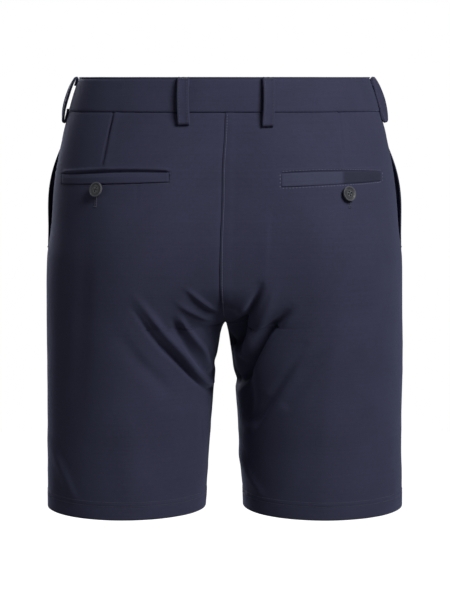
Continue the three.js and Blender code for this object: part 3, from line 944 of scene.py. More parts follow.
@dataclass
class Panel:
    """One back or front: cut out, folded in at its edges, turned up at its hem and creased."""

    side: Side
    face: Face
    form: GarmentForm
    slant: SlantPocket
    fly: Fly
    columns: int = 134  # steps round the panel between its folded edges
    thickness: float = 0.8
    top_drop: float = 33.6

    @property
    def name(self) -> str:
        """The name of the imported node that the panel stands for."""
        return f"{self.face.word}_{self.side.word}"

    def base(self, share: Array, drop: Array) -> Array:
        """Points of the smooth form on this panel."""
        return self.form.point(self.side, self.face, share, drop)

    def relief(self, share: Array, drop: Array) -> Array:
        """How far the cloth stands out of the smooth form, with every crease and seam.

        Args:
            share: places across the panel.
            drop: their drops.

        Returns:
            Millimetres outwards.
        """
        base = self.base(share, drop)
        across, deep = np.abs(base[..., 0]), np.abs(base[..., 1])
        upper = drop < self.form.crotch_drop
        found = self.creases(across, deep, drop, upper)
        around = base[..., 0] + base[..., 1]
        wander = 0.55 * Unevenness(10, 58, 74).at(around, drop)
        wander += 0.16 * Unevenness(11, 17, 23).at(around, drop)
        found += wander * smooth(drop, 36, 70)
        found += self.seam_relief(across, deep, drop, upper)
        found += self.hem_relief(across + deep, drop)
        if self.face is Face.BACK:
            for piece in (*BACK_POCKETS, *DARTS):
                if piece.side is self.side:
                    found += piece.relief(across, drop)
        else:
            found += self.slant.lift(share, drop)
            found += self.fly_relief(across, drop)
        return found

    def creases(self, across: Array, deep: Array, drop: Array, upper: Array) -> Array:
        """This panel's creases, met half way by its neighbours' where they are sewn together.

        Args:
            across: distances from the centre plane.
            deep: distances from the side seams' plane.
            drop: their drops.
            upper: True above the crotch.

        Returns:
            Millimetres outwards.
        """
        over_centre = 0.5 * (1 - smooth(across, 0, SEAM_BLEND)) * upper
        over_side = 0.5 * (1 - smooth(deep, 0, SEAM_BLEND))
        other_side, other_face = Side(-self.side), Face(-self.face)
        found = (1 - over_centre) * (1 - over_side) * swell_of(self.side, self.face, across, drop)
        for side, face, part in (
            (other_side, self.face, over_centre * (1 - over_side)),
            (self.side, other_face, (1 - over_centre) * over_side),
            (other_side, other_face, over_centre * over_side),
        ):
            near = part > 0
            if near.any():
                past = across[near] * side * self.side
                found[near] += part[near] * swell_of(side, face, past, drop[near])
        return found

    def seam_relief(self, across: Array, deep: Array, drop: Array, upper: Array) -> Array:
        """Ridges of the pressed seam allowances, and the small puckers along the seams.

        Args:
            across: distances from the centre plane.
            deep: distances from the side seams' plane.
            drop: their drops.
            upper: True above the crotch.

        Returns:
            Millimetres outwards.
        """
        to_centre = np.where(upper, across, deep)
        if self.side is Side.RIGHT:
            ridge = 0.5 * (1 - smooth(to_centre, 6, 12)) * upper
        else:
            ridge = -0.9 * bell(to_centre, 2.4) * upper
        pucker = Unevenness(40 + self.side, 30, 9).at(np.zeros_like(drop), drop)
        side_pucker = Unevenness(50 + self.side, 30, 11).at(np.zeros_like(drop), drop)
        puckers = 0.2 * pucker * bell(to_centre - 3, 6) + 0.16 * side_pucker * bell(deep - 3, 6)
        waist = Unevenness(60 + self.face, 10, 30).at(across, np.zeros_like(drop))
        puckers += 0.16 * waist * bell(drop - 38, 6)
        tucked = -0.7 * bell(drop - 34.6, 1.7) * smooth(deep, 4, 26)
        return ridge + puckers * smooth(drop, 35, 40) + tucked

    def hem_relief(self, around: Array, drop: Array) -> Array:
        """The doubled hem, dented by its two rows of stitches, and its slight wave.

        Args:
            around: places round the leg.
            drop: their drops.

        Returns:
            Millimetres outwards.
        """
        up = self.form.hem_drop - drop
        fold = 0.35 * (1 - smooth(up, 18.5, 21))
        dents = -0.3 * sum(bell(up - row, 0.9) for row in HEM_ROWS)
        ripple = 0.3 * Unevenness(70 + self.side, 13, 60).at(around, drop) * bell(up - 14, 9)
        wave = 0.7 * Unevenness(71 + self.side, 46, 90).at(around, drop) * (1 - smooth(up, 0, 60))
        return fold + dents + ripple + wave

    def fly_relief(self, across: Array, drop: Array) -> Array:
        """The fly's doubled cloth, standing over the right front.

        Args:
            across: distances from the centre plane.
            drop: their drops.

        Returns:
            Millimetres outwards.
        """
        open_here = self.fly.fade(drop)
        if self.side is Side.RIGHT:
            return -0.5 * bell(across, 5) * open_here
        doubled = 0.4 * (1 - smooth(across, self.fly.width - 2, self.fly.width + 1))
        return (self.fly.stand * (1 - smooth(across, 3, 14)) + doubled) * open_here

    def surface(self, share: Array, drop: Array, out: Array | float = 0.0) -> Array:
        """Points of the creased cloth, or of a layer outside it.

        Args:
            share: places across the panel.
            drop: their drops.
            out: distance outside the cloth.

        Returns:
            The points.
        """
        share, drop = np.broadcast_arrays(np.asarray(share, float), np.asarray(drop, float))
        normal = surface_normal(self.base, share, drop, -self.side * self.face)
        lifted = (self.relief(share, drop) + out)[..., None]
        base = self.base(share, drop)
        beside = smooth(np.abs(base[..., 0]), 0, SEAM_BLEND)
        held = np.where(drop < self.form.crotch_drop + 1, beside, 1.0)
        normal[..., 0] *= held
        points = base + normal * lifted
        if self.face is Face.FRONT and self.side is Side.LEFT:
            across = np.abs(points[..., 0])
            points[..., 0] += self.fly.lap * (1 - smooth(across, 0, 16)) * self.fly.fade(drop)
        return points

    def normal(self, share: Array, drop: Array) -> Array:
        """Outward directions of the creased cloth."""
        return surface_normal(self.surface, share, drop, -self.side * self.face)

    def edge_share(self, drop: Array) -> Array:
        """The share at which the cloth starts: the pocket's mouth, or the side seam."""
        if self.face is Face.FRONT:
            return self.slant.share(drop)
        return np.zeros(np.shape(drop))

    def rows(self) -> Array:
        """Drops of the rows above the hem's turn, close together where the shape is fine.

        Returns:
            The drops, downwards.
        """
        crotch, hem = self.form.crotch_drop, self.form.hem_drop
        top = np.array([self.top_drop, 34.6, 35.4, 36.2, 37.4])
        fine = np.arange(88.5, 111.5, 0.72) if self.face is Face.BACK else np.arange(88.5, 111.5, 2.1)
        waist = np.arange(39.0, 88.0, 1.95)
        seat = np.arange(fine[-1] + 1.6, crotch - 24, 2.05)
        arch = crotch - 23 * (np.arange(26, -1, -1) / 26) ** 1.8
        parting = crotch + 18 * (np.arange(1, 12) / 11) ** 1.35
        leg = np.arange(parting[-1] + 2.2, hem - 23, 2.3)
        turn = np.arange(hem - 22, hem - 3.5, 1.1)
        return np.concatenate([top, waist, fine, seat, arch, parting, leg, turn])

    def layout(self) -> tuple[Array, Array, Array, Array, Array]:
        """Where every corner of the panel's grid lies on the cloth.

        Returns:
            Shares, drops, distances out, and the two places on the flat cloth in millimetres.
        """
        hem = self.form.hem_drop
        rows = self.rows()
        turn_drops = hem - HEM_TURN[:, 0]
        drops = np.concatenate([rows, turn_drops])
        outs = np.concatenate([np.zeros(len(rows)), HEM_TURN[:, 1]])
        outs[:4] = (-1.3, -0.8, -0.3, -0.05)
        folded = np.arange(len(HEM_TURN)) > HEM_FOLD
        flat_down = np.concatenate([rows, np.where(folded, 2 * hem - turn_drops, turn_drops)])

        starts = self.edge_share(drops)
        shares = starts[:, None] + (1 - starts[:, None]) * SAMPLES
        line = self.form.point(Side.RIGHT, self.face, shares, drops[:, None])
        gone = np.cumsum(np.linalg.norm(np.diff(line, axis=1), axis=2), axis=1)
        gone = np.hstack([np.zeros((len(drops), 1)), gone])
        inward, fold_out = EDGE_FOLD.T
        opened = np.where(np.arange(len(inward)) < FOLDED_UNDER, -inward, inward)
        edge_steps = np.arange(1, self.columns) / self.columns
        found_shares, flat_across = [], []
        for row, length in enumerate(gone[:, -1]):
            between = inward[-1] + (length - 2 * inward[-1]) * edge_steps
            places = np.concatenate([inward, between, length - inward[::-1]])
            found_shares.append(np.interp(places, gone[row], shares[row]))
            cut_away = self.slant.top * self.slant.left(drops[row]) * (self.face > 0)
            flat_across.append(np.concatenate([opened, between, length - opened[::-1]]) + cut_away)
        column_out = np.concatenate([fold_out, np.zeros(len(edge_steps)), fold_out[::-1]])
        shape = (len(drops), len(column_out))
        return (
            np.array(found_shares),
            np.broadcast_to(drops[:, None], shape),
            outs[:, None] + column_out[None, :],
            np.array(flat_across),
            np.broadcast_to(flat_down[:, None], shape),
        )

    def build(self) -> Piece:
        """The panel's mesh, with its thickness and its place on the flat cloth.

        Returns:
            The panel's object.
        """
        share, drop, out, flat_across, flat_down = self.layout()
        points = self.surface(share, drop, out)
        self.close_seams(points, drop)
        self.drift(points, drop)
        uv = np.stack([flat_across, -flat_down], axis=-1) * MM
        piece = grid_object(f"cloth_{self.name}", points, uv)
        middle = piece.data.polygons[len(piece.data.polygons) // 3 + self.columns // 2]
        if middle.normal.y * self.face < 0:
            piece.data.flip_normals()
        thicken(piece, self.thickness)
        return piece

    def close_seams(self, points: Array, drop: Array) -> None:
        """Brings the edges up to the seams' planes, and a hair past them so that no seam gapes.

        The left back, whose edge lies deeper, reaches in under the right one's.

        Args:
            points: the panel's points, changed in place.
            drop: drops of the same points.
        """
        closed = np.ones(drop.shape)
        if self.face is Face.FRONT:
            closed = 1 - self.fly.fade(drop)
        under = 1.5 if self.side is Side.LEFT else 0.2
        for axis, sign, share, tuck in ((0, self.side, closed, under), (1, self.face, 1.0, 0.3)):
            inward = sign * points[..., axis]
            moved = np.maximum(inward, 0) - tuck * bell(inward, 1.6)
            points[..., axis] = sign * (inward + (moved - inward) * share)

    def drift(self, points: Array, drop: Array) -> None:
        """Moves the points beside the centre back seam aside with the seam."""
        if self.face is Face.BACK:
            points[..., 0] += seam_drift(drop) * bell(points[..., 0], 20)

    def share_at(self, distance: float, drop: float, from_centre: bool = False) -> float:
        """The share at a distance along the cloth from the edge or from the centre seam.

        Args:
            distance: millimetres along the cloth.
            drop: where it is measured.
            from_centre: True measures from the centre seam or inseam.

        Returns:
            The share there.
        """
        start = float(self.edge_share(np.array(drop)))
        shares = start + (1 - start) * SAMPLES
        gone = gone_along(self.form.point(Side.RIGHT, self.face, shares, np.full(shares.shape, drop)))
        place = gone[-1] - distance if from_centre else distance
        return float(np.interp(place, gone, shares))

    def length_at(self, drop: float) -> float:
        """Millimetres of cloth from edge to edge at a drop.

        Args:
            drop: where it is measured.

        Returns:
            The length.
        """
        start = float(self.edge_share(np.array(drop)))
        shares = np.linspace(start, 1, 260)
        line = self.form.point(Side.RIGHT, self.face, shares, np.full(shares.shape, drop))
        return float(np.linalg.norm(np.diff(line, axis=0), axis=1).sum())

    def stitched(self, name: str, shares: Array, drops: Array, thread: Thread) -> Piece:
        """A run of stitches along places on the panel.

        Args:
            name: the object's name.
            shares: shares of closely spaced places.
            drops: their drops.
            thread: the thread.

        Returns:
            The stitches' object.
        """
        line = self.surface(shares, drops, 0.05)
        self.drift(line, drops)
        return thread.run(name, line, self.normal(shares, drops))

    def hem_stitches(self, thread: Thread) -> Piece:
        """The two rows of stitches that hold the hem.

        Args:
            thread: the thread.

        Returns:
            The stitches' object.
        """
        rows = []
        for row, up in enumerate(HEM_ROWS):
            drop = self.form.hem_drop - up
            length = self.length_at(drop)
            places = np.linspace(1.5, length - 1.5, 120)
            shares = np.array([self.share_at(place, drop) for place in places])
            rows.append(self.stitched(f"hem_row_{self.name}_{row}", shares, np.full(120, drop), thread))
        return joined(rows, f"hem_stitches_{self.name}")


# ---- pieces on the panels


@dataclass
class Welt:
    """The folded strip of a back pocket, with its edge stitches."""

    pocket: BackPocket
    panel: Panel
    thickness: float = 1.7
    proud: float = 0.65  # how far its face stands out of the back
    seam: float = 0.2  # gap to the cloth round it

    @property
    def name(self) -> str:
        """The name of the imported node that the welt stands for."""
        return f"back_welt_{self.pocket.side.word}"

    def places(self, along: Array, down: Array) -> tuple[Array, Array]:
        """Shares and drops of places on the strip.

        Args:
            along: 0 at the outer end to 1 at the inner one.
            down: 0 at the top edge to 1 at the foot.

        Returns:
            Shares and drops.
        """
        pocket = self.pocket
        across = pocket.outer + (pocket.inner - pocket.outer) * along
        top = pocket.top(along) + pocket.opening(along) + self.seam
        drop = top + (pocket.foot(along) - self.seam - top) * down
        return self.panel.form.share_across(across, drop), drop

    def surface(self, along: Array, down: Array, out: Array) -> Array:
        """Points of the strip over the pressed-in back.

        Args:
            along: 0 at the outer end to 1 at the inner one.
            down: 0 at the top edge to 1 at the foot.
            out: distance out of the back's own level.

        Returns:
            The points.
        """
        share, drop = self.places(along, down)
        base = self.panel.base(share, drop)
        normal = surface_normal(self.panel.base, share, drop, -self.panel.side * self.panel.face)
        ripple = 0.18 * Unevenness(80 + self.pocket.side, 15, 9).at(along * 110, down * 12)
        dip = -0.6 * self.pocket.gape * (1 - smooth(down, 0, 0.45)) * np.sin(np.pi * along) ** 0.5
        return base + normal * (out + ripple + dip)[..., None]

    def build(self) -> Piece:
        """The strip's mesh: a soft-edged flat tube round the fold.

        Returns:
            The welt's object.
        """
        inset, edge = 0.045, 0.5
        front = [(0.0, -edge), (inset * 0.35, -0.12), (inset, 0.0)]
        face_steps = [(down, 0.0) for down in np.linspace(0.14, 0.86, 9)]
        lower = [(1 - down, out) for down, out in reversed(front)]
        back = [(1.0, edge - self.thickness), (0.5, -self.thickness), (0.0, edge - self.thickness)]
        loop = np.array([*front, *face_steps, *lower, *back])
        ends = np.array([0.0, 0.004, 0.012])
        along = np.concatenate([ends, np.linspace(0.025, 0.975, 72), 1 - ends[::-1]])
        rounding = np.concatenate([[-0.5, -0.15, 0.0], np.zeros(72), [0.0, -0.15, -0.5]])
        down = np.broadcast_to(loop[:, :1], (len(loop), len(along)))
        out = self.proud + loop[:, 1:] + rounding[None, :] * (loop[:, 1:] > -0.6)
        points = self.surface(np.broadcast_to(along, down.shape), down, out)
        uv = np.stack([along[None, :] * 110 + 0 * down, -90 - 14 * down], axis=-1) * MM
        piece = grid_object(f"welt_{self.pocket.side.word}", points, uv, closed=True)
        turn_outward(piece)
        return piece

    def stitches(self, thread: Thread) -> Piece:
        """Edge stitches under the welt and down the pocket's ends, on the back, and over its mouth where
        the stitches are paler.

        Args:
            thread: the thread.

        Returns:
            The stitches' object.
        """
        pocket, margin = self.pocket, 1.5
        along = np.linspace(0, 1, 90)
        across = pocket.outer + (pocket.inner - pocket.outer) * along
        runs = [(across, pocket.foot(along) + margin)]
        for end, beside in ((1.0, pocket.inner - margin), (0.0, pocket.outer + margin)):
            runs.append((np.full(12, beside), np.linspace(pocket.top(end), pocket.foot(end) + margin, 12)))
        if pocket.pressed:
            runs.append((across, pocket.top(along) - margin))
        made = []
        for row, (places, drops) in enumerate(runs):
            shares = self.panel.form.share_across(places, drops)
            made.append(self.panel.stitched(f"welt_run_{pocket.side.word}_{row}", shares, drops, thread))
        return joined(made, f"welt_stitches_{pocket.side.word}")


@dataclass
class Buttonhole:
    """A sewn buttonhole: a slit between two rows of close stitches, with a bar at its end."""

    place: Callable[[Array, Array, float], Array]  # its places on the cloth
    normal: Callable[[Array, Array], Array]  # outward directions there
    length: float
    half_width: float = 1.25  # how far its stitches reach beside the slit
    pitch: float = 0.55  # distance between two stitches

    def build(self, name: str, thread: Thread) -> Piece:
        """The buttonhole's stitches, in its own flat coordinates along and beside the slit.

        Args:
            name: the object's name.
            thread: the thread.

        Returns:
            The stitches' object.
        """
        along = np.arange(0, self.length, self.pitch)
        starts, ends = [], []
        for way in (-1, 1):
            starts.append(self.place(along, np.full(along.shape, way * 0.3), 0.1))
            ends.append(self.place(along, np.full(along.shape, way * self.half_width), 0.1))
        bar = np.arange(-self.half_width, self.half_width + 0.01, 0.5)
        starts.append(self.place(np.full(bar.shape, self.length), bar, 0.2))
        ends.append(self.place(np.full(bar.shape, self.length + 1.6), bar, 0.2))
        first, last = np.vstack(starts), np.vstack(ends)
        middles = np.concatenate([along, along, np.full(bar.shape, self.length)])
        beside = np.concatenate([np.full(along.shape, -0.8), np.full(along.shape, 0.8), bar])
        return thread.bodies(name, first, last, self.normal(middles, beside))


@dataclass
class PocketFacing:
    """The cloth that carries the side on behind a slant pocket's mouth."""

    side: Side
    slant: SlantPocket
    cloth: float = 1.3  # the thickness of cloth over it
    thickness: float = 0.8

    @property
    def name(self) -> str:
        """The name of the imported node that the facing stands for."""
        return f"pocket_facing_{self.side.word}"

    def build(self) -> Piece:
        """The facing's mesh, a little behind the front's form.

        Returns:
            The facing's object.
        """
        form = self.slant.form
        drops = np.linspace(form.band_height - 2, self.slant.end_drop + 6, 84)[:, None]
        ring = form.ring(drops)
        reach = self.slant.angle(ring, drops) + self.slant.overlap / ring.front
        across = np.concatenate([[-0.04, -0.03, -0.015], np.linspace(0, 1, 36)])[None, :]
        share = form.share(ring, reach) * across

        def base(place: Array, drop: Array) -> Array:
            """The smooth form of this front."""
            return form.point(self.side, Face.FRONT, place, drop)

        share, drop = np.broadcast_arrays(share, drops)
        normal = surface_normal(base, share, drop, -self.side)
        sag = 0.8 * Unevenness(90 + self.side, 22, 34).at(share * 260, drop)
        tucked = smooth(drop, form.band_height - 1, form.band_height + 9)
        behind = self.cloth + self.slant.layer_gap - 0.6 + sag * bell(across - 0.5, 0.35)
        depth = 0.9 + behind * tucked
        under = smooth(-across, -0.01, 0.015)
        depth = depth + (2.6 - depth) * under
        points = base(share, drop) - normal * depth[..., None]
        uv = np.stack([share * 260, -drop], axis=-1) * MM
        piece = grid_object(f"facing_{self.side.word}", points, uv)
        face_towards(piece, normal[0, 0])
        thicken(piece, self.thickness)
        return piece


# ---- waistband


@dataclass
class Waistband:
    """The band: one strip whose left end laps over its right end at the front."""

    form: GarmentForm
    height: float = 35.0
    thickness: float = 2.5
    proud: float = 0.6  # how far its face stands out of the form
    underlap: float = 36.0  # how far its right end reaches past the centre front
    overlap: float = 4.0  # how far its left end reaches past it
    step: float = 14.0  # length over which the right end steps in
    seam_gap: float = 0.3  # gap between the two ends
    hole_turn: float = -1.945  # the turn at which the buttonhole starts
    button_turn: float = -1.952  # the turn at which the button is
    columns: int = 420

    @property
    def per_turn(self) -> float:
        """Millimetres of band to one turn, half way up it."""
        middle = self.form.ring(np.array(self.height / 2))
        return float(middle.radius * middle.end)

    def inset(self, turn: Array) -> Array:
        """How far the right end steps in under the left one."""
        past = (turn - 2) * self.per_turn + self.overlap + self.step + self.seam_gap
        return (self.thickness + 0.1 + self.seam_gap) * smooth(past, 0, self.step)

    def surface(self, turn: Array, drop: Array, out: Array | float = 0.0) -> Array:
        """Points on the band's outer face, or a distance outside it.

        Args:
            turn: turns round the waist.
            drop: their drops.
            out: distance outside the face.

        Returns:
            The points.
        """
        turn, drop = np.broadcast_arrays(np.asarray(turn, float), np.asarray(drop, float))
        crown = 0.35 * np.sin(np.pi * np.clip(drop / self.height, 0, 1))
        around = (turn + 3) * self.per_turn
        wave = 0.35 * Unevenness(30, 30, 40).at(around, drop)
        seam_wave = 0.22 * Unevenness(31, 9, 60).at(around, drop)
        wave += seam_wave * bell(drop - self.height + 3, 6)
        level = out + self.proud + crown + wave - self.inset(turn)
        return self.form.around(turn, drop) + self.form.around_normal(turn, drop) * level[..., None]

    def build(self) -> Piece:
        """The band's mesh: a flat tube with a soft fold at its top and bottom edges.

        Returns:
            The band's object.
        """
        edge, per_turn = self.thickness / 2, self.per_turn
        bends = np.linspace(np.pi, 0, 7)
        top = [(edge * 0.8 * (1 - math.sin(a)), -edge - edge * math.cos(a)) for a in bends]
        outer = [(drop, 0.0) for drop in np.linspace(2.6, self.height - 2.2, 15)]
        foot = [(self.height - 0.6, -0.12), (self.height, -0.55), (self.height, -edge)]
        inner = [(self.height - 0.3, -self.thickness + 0.2), (self.height - 2, -self.thickness)]
        inside = [(drop, -self.thickness) for drop in np.linspace(self.height - 6, 3, 7)]
        loop = np.array([*top, *outer, *foot, *inner, *inside])
        start = -(2 + self.overlap / per_turn)
        end = 2 + self.underlap / per_turn
        ends = np.array([0.0, 0.0006, 0.0016])
        spans = np.concatenate([ends, np.linspace(0.004, 0.996, self.columns), 1 - ends[::-1]])
        rounding = np.zeros(len(spans))
        rounding[:2], rounding[-2:] = (0.5, 0.15), (0.15, 0.5)
        turn = (start + (end - start) * spans)[None, :] + 0 * loop[:, :1]
        out = loop[:, 1:] + (-edge - loop[:, 1:]) * rounding[None, :]
        drop = loop[:, :1] + 0 * turn
        points = self.surface(turn, drop, out)
        uv = np.stack([turn * per_turn, -gone_along(loop)[:, None] + 0 * turn], axis=-1) * MM
        piece = grid_object("band", points, uv, closed=True)
        turn_outward(piece)
        return piece


# a belt loop's middle line, as (drop, how far it stands off the garment)
LOOP_LINE = np.array([
    (9.0, 2.0), (4.4, 2.0), (1.9, 2.3), (1.0, 3.3), (2.0, 4.4), (4.6, 5.0), (9.0, 5.8), (15.0, 6.3),
    (24.0, 6.4), (32.0, 5.9), (38.0, 5.0), (42.0, 4.2), (44.6, 3.6), (45.7, 2.5), (44.8, 1.5),
    (41.5, 1.3), (37.0, 1.4), (34.6, 1.7), (32.4, 2.2),
])


class StrapLine(NamedTuple):
    """A strap's middle line with the distance gone, its sideways and its outward directions."""

    gone: Array
    points: Array
    sideways: Array
    outward: Array


@dataclass(frozen=True)
class BeltLoop:
    """A strap across the band, folded under and sewn down at both ends."""

    place: str  # which loop it is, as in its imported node's name
    turn: float  # where it is round the waist
    foot: float  # drop of its lower fold
    twist: float  # degrees that its outer edge stands off further than its inner one
    slack: float  # how far it bows off the band, 1 for most
    seed: int  # which unevenness it has
    form: GarmentForm = GarmentForm()
    width: float = 12.0
    thickness: float = 2.6
    tight_stand: float = 3.2  # how far it stands off where it is sewn down, which its slack leaves alone

    @property
    def name(self) -> str:
        """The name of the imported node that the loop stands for."""
        return f"belt_loop_{self.place}"

    def line(self) -> StrapLine:
        """The strap's middle line, from under its top fold to under its lower one.

        Returns:
            The line.
        """
        steps, tight = LOOP_LINE.copy(), self.tight_stand
        steps[:, 0] *= self.foot / steps[:, 0].max()
        steps[:, 1] = np.where(steps[:, 1] > tight, tight + (steps[:, 1] - tight) * self.slack, steps[:, 1])
        drop, stand = smooth_line(steps, 12).T
        level = unit(self.form.around_normal(np.full(drop.shape, self.turn), drop) * np.array([1, 1, 0]))
        sideways = np.stack([-level[:, 1], level[:, 0], 0 * drop], axis=-1)
        points = self.form.around(self.turn, drop) + level * stand[:, None]
        along = unit(np.gradient(points, axis=0))
        outward = unit(np.cross(sideways, along))
        middle = len(outward) // 2
        outward = outward * np.sign(outward[middle] @ level[middle])
        gone = gone_along(points)
        return StrapLine(gone / gone[-1], points, sideways, outward)

    def surface(self, share: Array, beside: Array, out: Array) -> tuple[Array, Array]:
        """Points on the strap and its outward directions there.

        Args:
            share: shares of the way along the strap.
            beside: distances beside its middle line.
            out: distances out of its middle.

        Returns:
            The points and the directions.
        """
        gone, points, aside, away = self.line()
        held = np.clip((share - 0.11) / 0.72, 0, 1)
        lean = math.radians(self.twist) * np.sign(self.turn) * np.sin(np.pi * held) ** 0.7
        turned_out, turned_side = np.cos(lean)[:, None], np.sin(lean)[:, None]
        flat_out, flat_side = unit(part_way(away, gone, share)), part_way(aside, gone, share)
        outward = flat_out * turned_out - flat_side * turned_side
        sideways = flat_side * turned_out + flat_out * turned_side
        middle = part_way(points, gone, share)
        return middle + sideways * beside[:, None] + outward * out[:, None], outward

    def build(self) -> Piece:
        """The strap's mesh: a flat tube of folded cloth, thickest along its two edges.

        Returns:
            The strap's object.
        """
        half, thick = self.width / 2, self.thickness / 2
        rim = ((0.0, 0.0), (0.18, 0.7), (0.7, 1.0), (1.9, 0.9), (2.6, 0.72))
        front = [(-half + inward, thick * out) for inward, out in rim]
        section = [*front, (0.0, 0.95 * thick), *[(-beside, out) for beside, out in reversed(front)]]
        section += [(half - 0.6, -0.8 * thick), (0.0, -0.8 * thick), (-half + 0.6, -0.8 * thick)]
        share = np.linspace(0, 1, 110)
        wobble = 0.12 * Unevenness(self.seed, 9, 9).at(share * 100, 0 * share)
        rows = [self.surface(share, beside + 0 * share, out + wobble)[0] for beside, out in section]
        across = np.linspace(0, 2 * self.width, len(section))[:, None]
        uv = np.stack(np.broadcast_arrays(across, -share[None, :] * 100), axis=-1) * MM
        piece = grid_object(f"loop_{self.place}", np.array(rows), uv, closed=True)
        turn_outward(piece)
        return piece

    def stitches(self, thread: Thread) -> Piece:
        """Two rows along the strap, and a close bar across each end.

        Args:
            thread: the thread.

        Returns:
            The stitches' object.
        """
        made = []
        share = np.linspace(0.17, 0.80, 60)
        half, seat = self.width / 2 - 2.25, 0.72 * self.thickness / 2
        for way in Side:
            line, outward = self.surface(share, way * half + 0 * share, seat + 0 * share)
            made.append(thread.run(f"loop_run_{self.place}_{way.word}", line, outward))
        beside = np.arange(-self.width / 2 + 1.4, self.width / 2 - 1.3, 0.55)
        level = np.full(beside.shape, seat + 0.1)
        for bar, middle in enumerate((0.145, 0.80)):
            first, outward = self.surface(np.full(beside.shape, middle - 0.011), beside, level)
            last, _ = self.surface(np.full(beside.shape, middle + 0.011), beside, level)
            made.append(thread.bodies(f"loop_bar_{self.place}_{bar}", first, last, outward))
        return joined(made, f"loop_stitches_{self.place}")


BELT_LOOPS = (
    BeltLoop("back_left", -0.172, 46.6, 3.0, 0.9, 200),
    BeltLoop("back_right", 0.184, 48.2, -3.0, 0.95, 201),
    BeltLoop("side_left", -1.0, 46.8, 14.0, 1.1, 202),
    BeltLoop("side_right", 0.938, 45.6, 38.0, 0.48, 203),
    BeltLoop("front_left", -1.62, 46.8, 5.0, 0.9, 204),
    BeltLoop("front_right", 1.62, 46.8, -4.0, 0.8, 205),
)


# ---- fly, zip and buttons


@dataclass
class FlyClosing:
    """What lies behind the left front at the centre: the zip and the cloth behind it."""

    form: GarmentForm
    top_drop: float = 37.0  # where the zip starts, just under the band
    end_drop: float = 190.0  # where the cloth behind it ends
    tape_half: float = 13.0  # half the width of the zip
    shield_half: float = 22.0  # half the width of the cloth behind it
    chain_half: float = 2.6  # half the width of the teeth's bed
    tape_out: float = -2.4  # the tape's distance out of the form
    sink: float = 4.4  # how much deeper the teeth lie

    def sunk(self, across: Array) -> Array:
        """How much deeper the tape lies towards its teeth."""
        share = (self.tape_half - np.abs(across)) / (self.tape_half - self.chain_half)
        return self.sink * np.clip(share, 0, 1)

    def points(self, across: Array, drop: Array, out: Array) -> Array:
        """Points behind the centre front.

        Args:
            across: distances from the centre plane, positive on the wearer's right.
            drop: their drops.
            out: distances out of the form.

        Returns:
            The points.
        """
        across, drop, out = np.broadcast_arrays(across, drop, out)
        turn = 2 - across / self.form.around_length(drop)
        return self.form.around(turn, drop) + self.form.around_normal(turn, drop) * out[..., None]

    def strip(
        self, name: str, edges: tuple[float, float], end: float, lower: float, thick: float
    ) -> Piece:
        """A strip of cloth or tape that follows the sunk zip.

        Args:
            name: the object's name.
            edges: its two edges, as distances from the centre plane.
            end: drop of its lower end.
            lower: how much deeper it lies than the tape.
            thick: its thickness.

        Returns:
            The strip's object.
        """
        across = np.linspace(*edges, 24)[None, :]
        drop = np.linspace(self.top_drop, end, 70)[:, None]
        ripple = 0.25 * Unevenness(120, 16, 30).at(across + 60, drop)
        points = self.points(across, drop, self.tape_out - self.sunk(across) - lower + ripple)
        uv = np.stack(np.broadcast_arrays(across, -drop), axis=-1) * MM
        piece = grid_object(name, points, uv)
        face_towards(piece, np.array([0, 1, 0]))
        thicken(piece, thick)
        return piece

    def tapes(self) -> Piece:
        """The two tapes of the zip, one each side of its teeth.

        Returns:
            The tapes' object.
        """
        end = self.end_drop - 8
        halves = [
            self.strip(f"tape_{side.word}", (side * self.tape_half, side * 0.5), end, 0.0, 0.7)
            for side in Side
        ]
        return joined(halves, "zip_tapes")

    def shield(self) -> Piece:
        """The cloth behind the zip."""
        return self.strip("shield_cloth", (-self.shield_half, self.shield_half), self.end_drop, 2.2, 0.8)

    def teeth(self) -> Piece:
        """The zip's interlocked teeth, alternately from the left and from the right.

        Returns:
            The teeth's object.
        """
        drops = np.arange(self.top_drop + 6, self.end_drop - 14, 1.25)
        side = np.where(np.arange(len(drops)) % 2 == 0, 1.0, -1.0)
        out = np.full(drops.shape, self.tape_out - self.sink + 0.35)
        starts = self.points(side * 2.3, drops, out)
        ends = self.points(side * -0.9, drops + 0.2, out)
        level = self.form.around_normal(np.full(drops.shape, 2.0), drops)
        return Thread(radius=0.55, sides=6).bodies("zip_teeth", starts, ends, level)


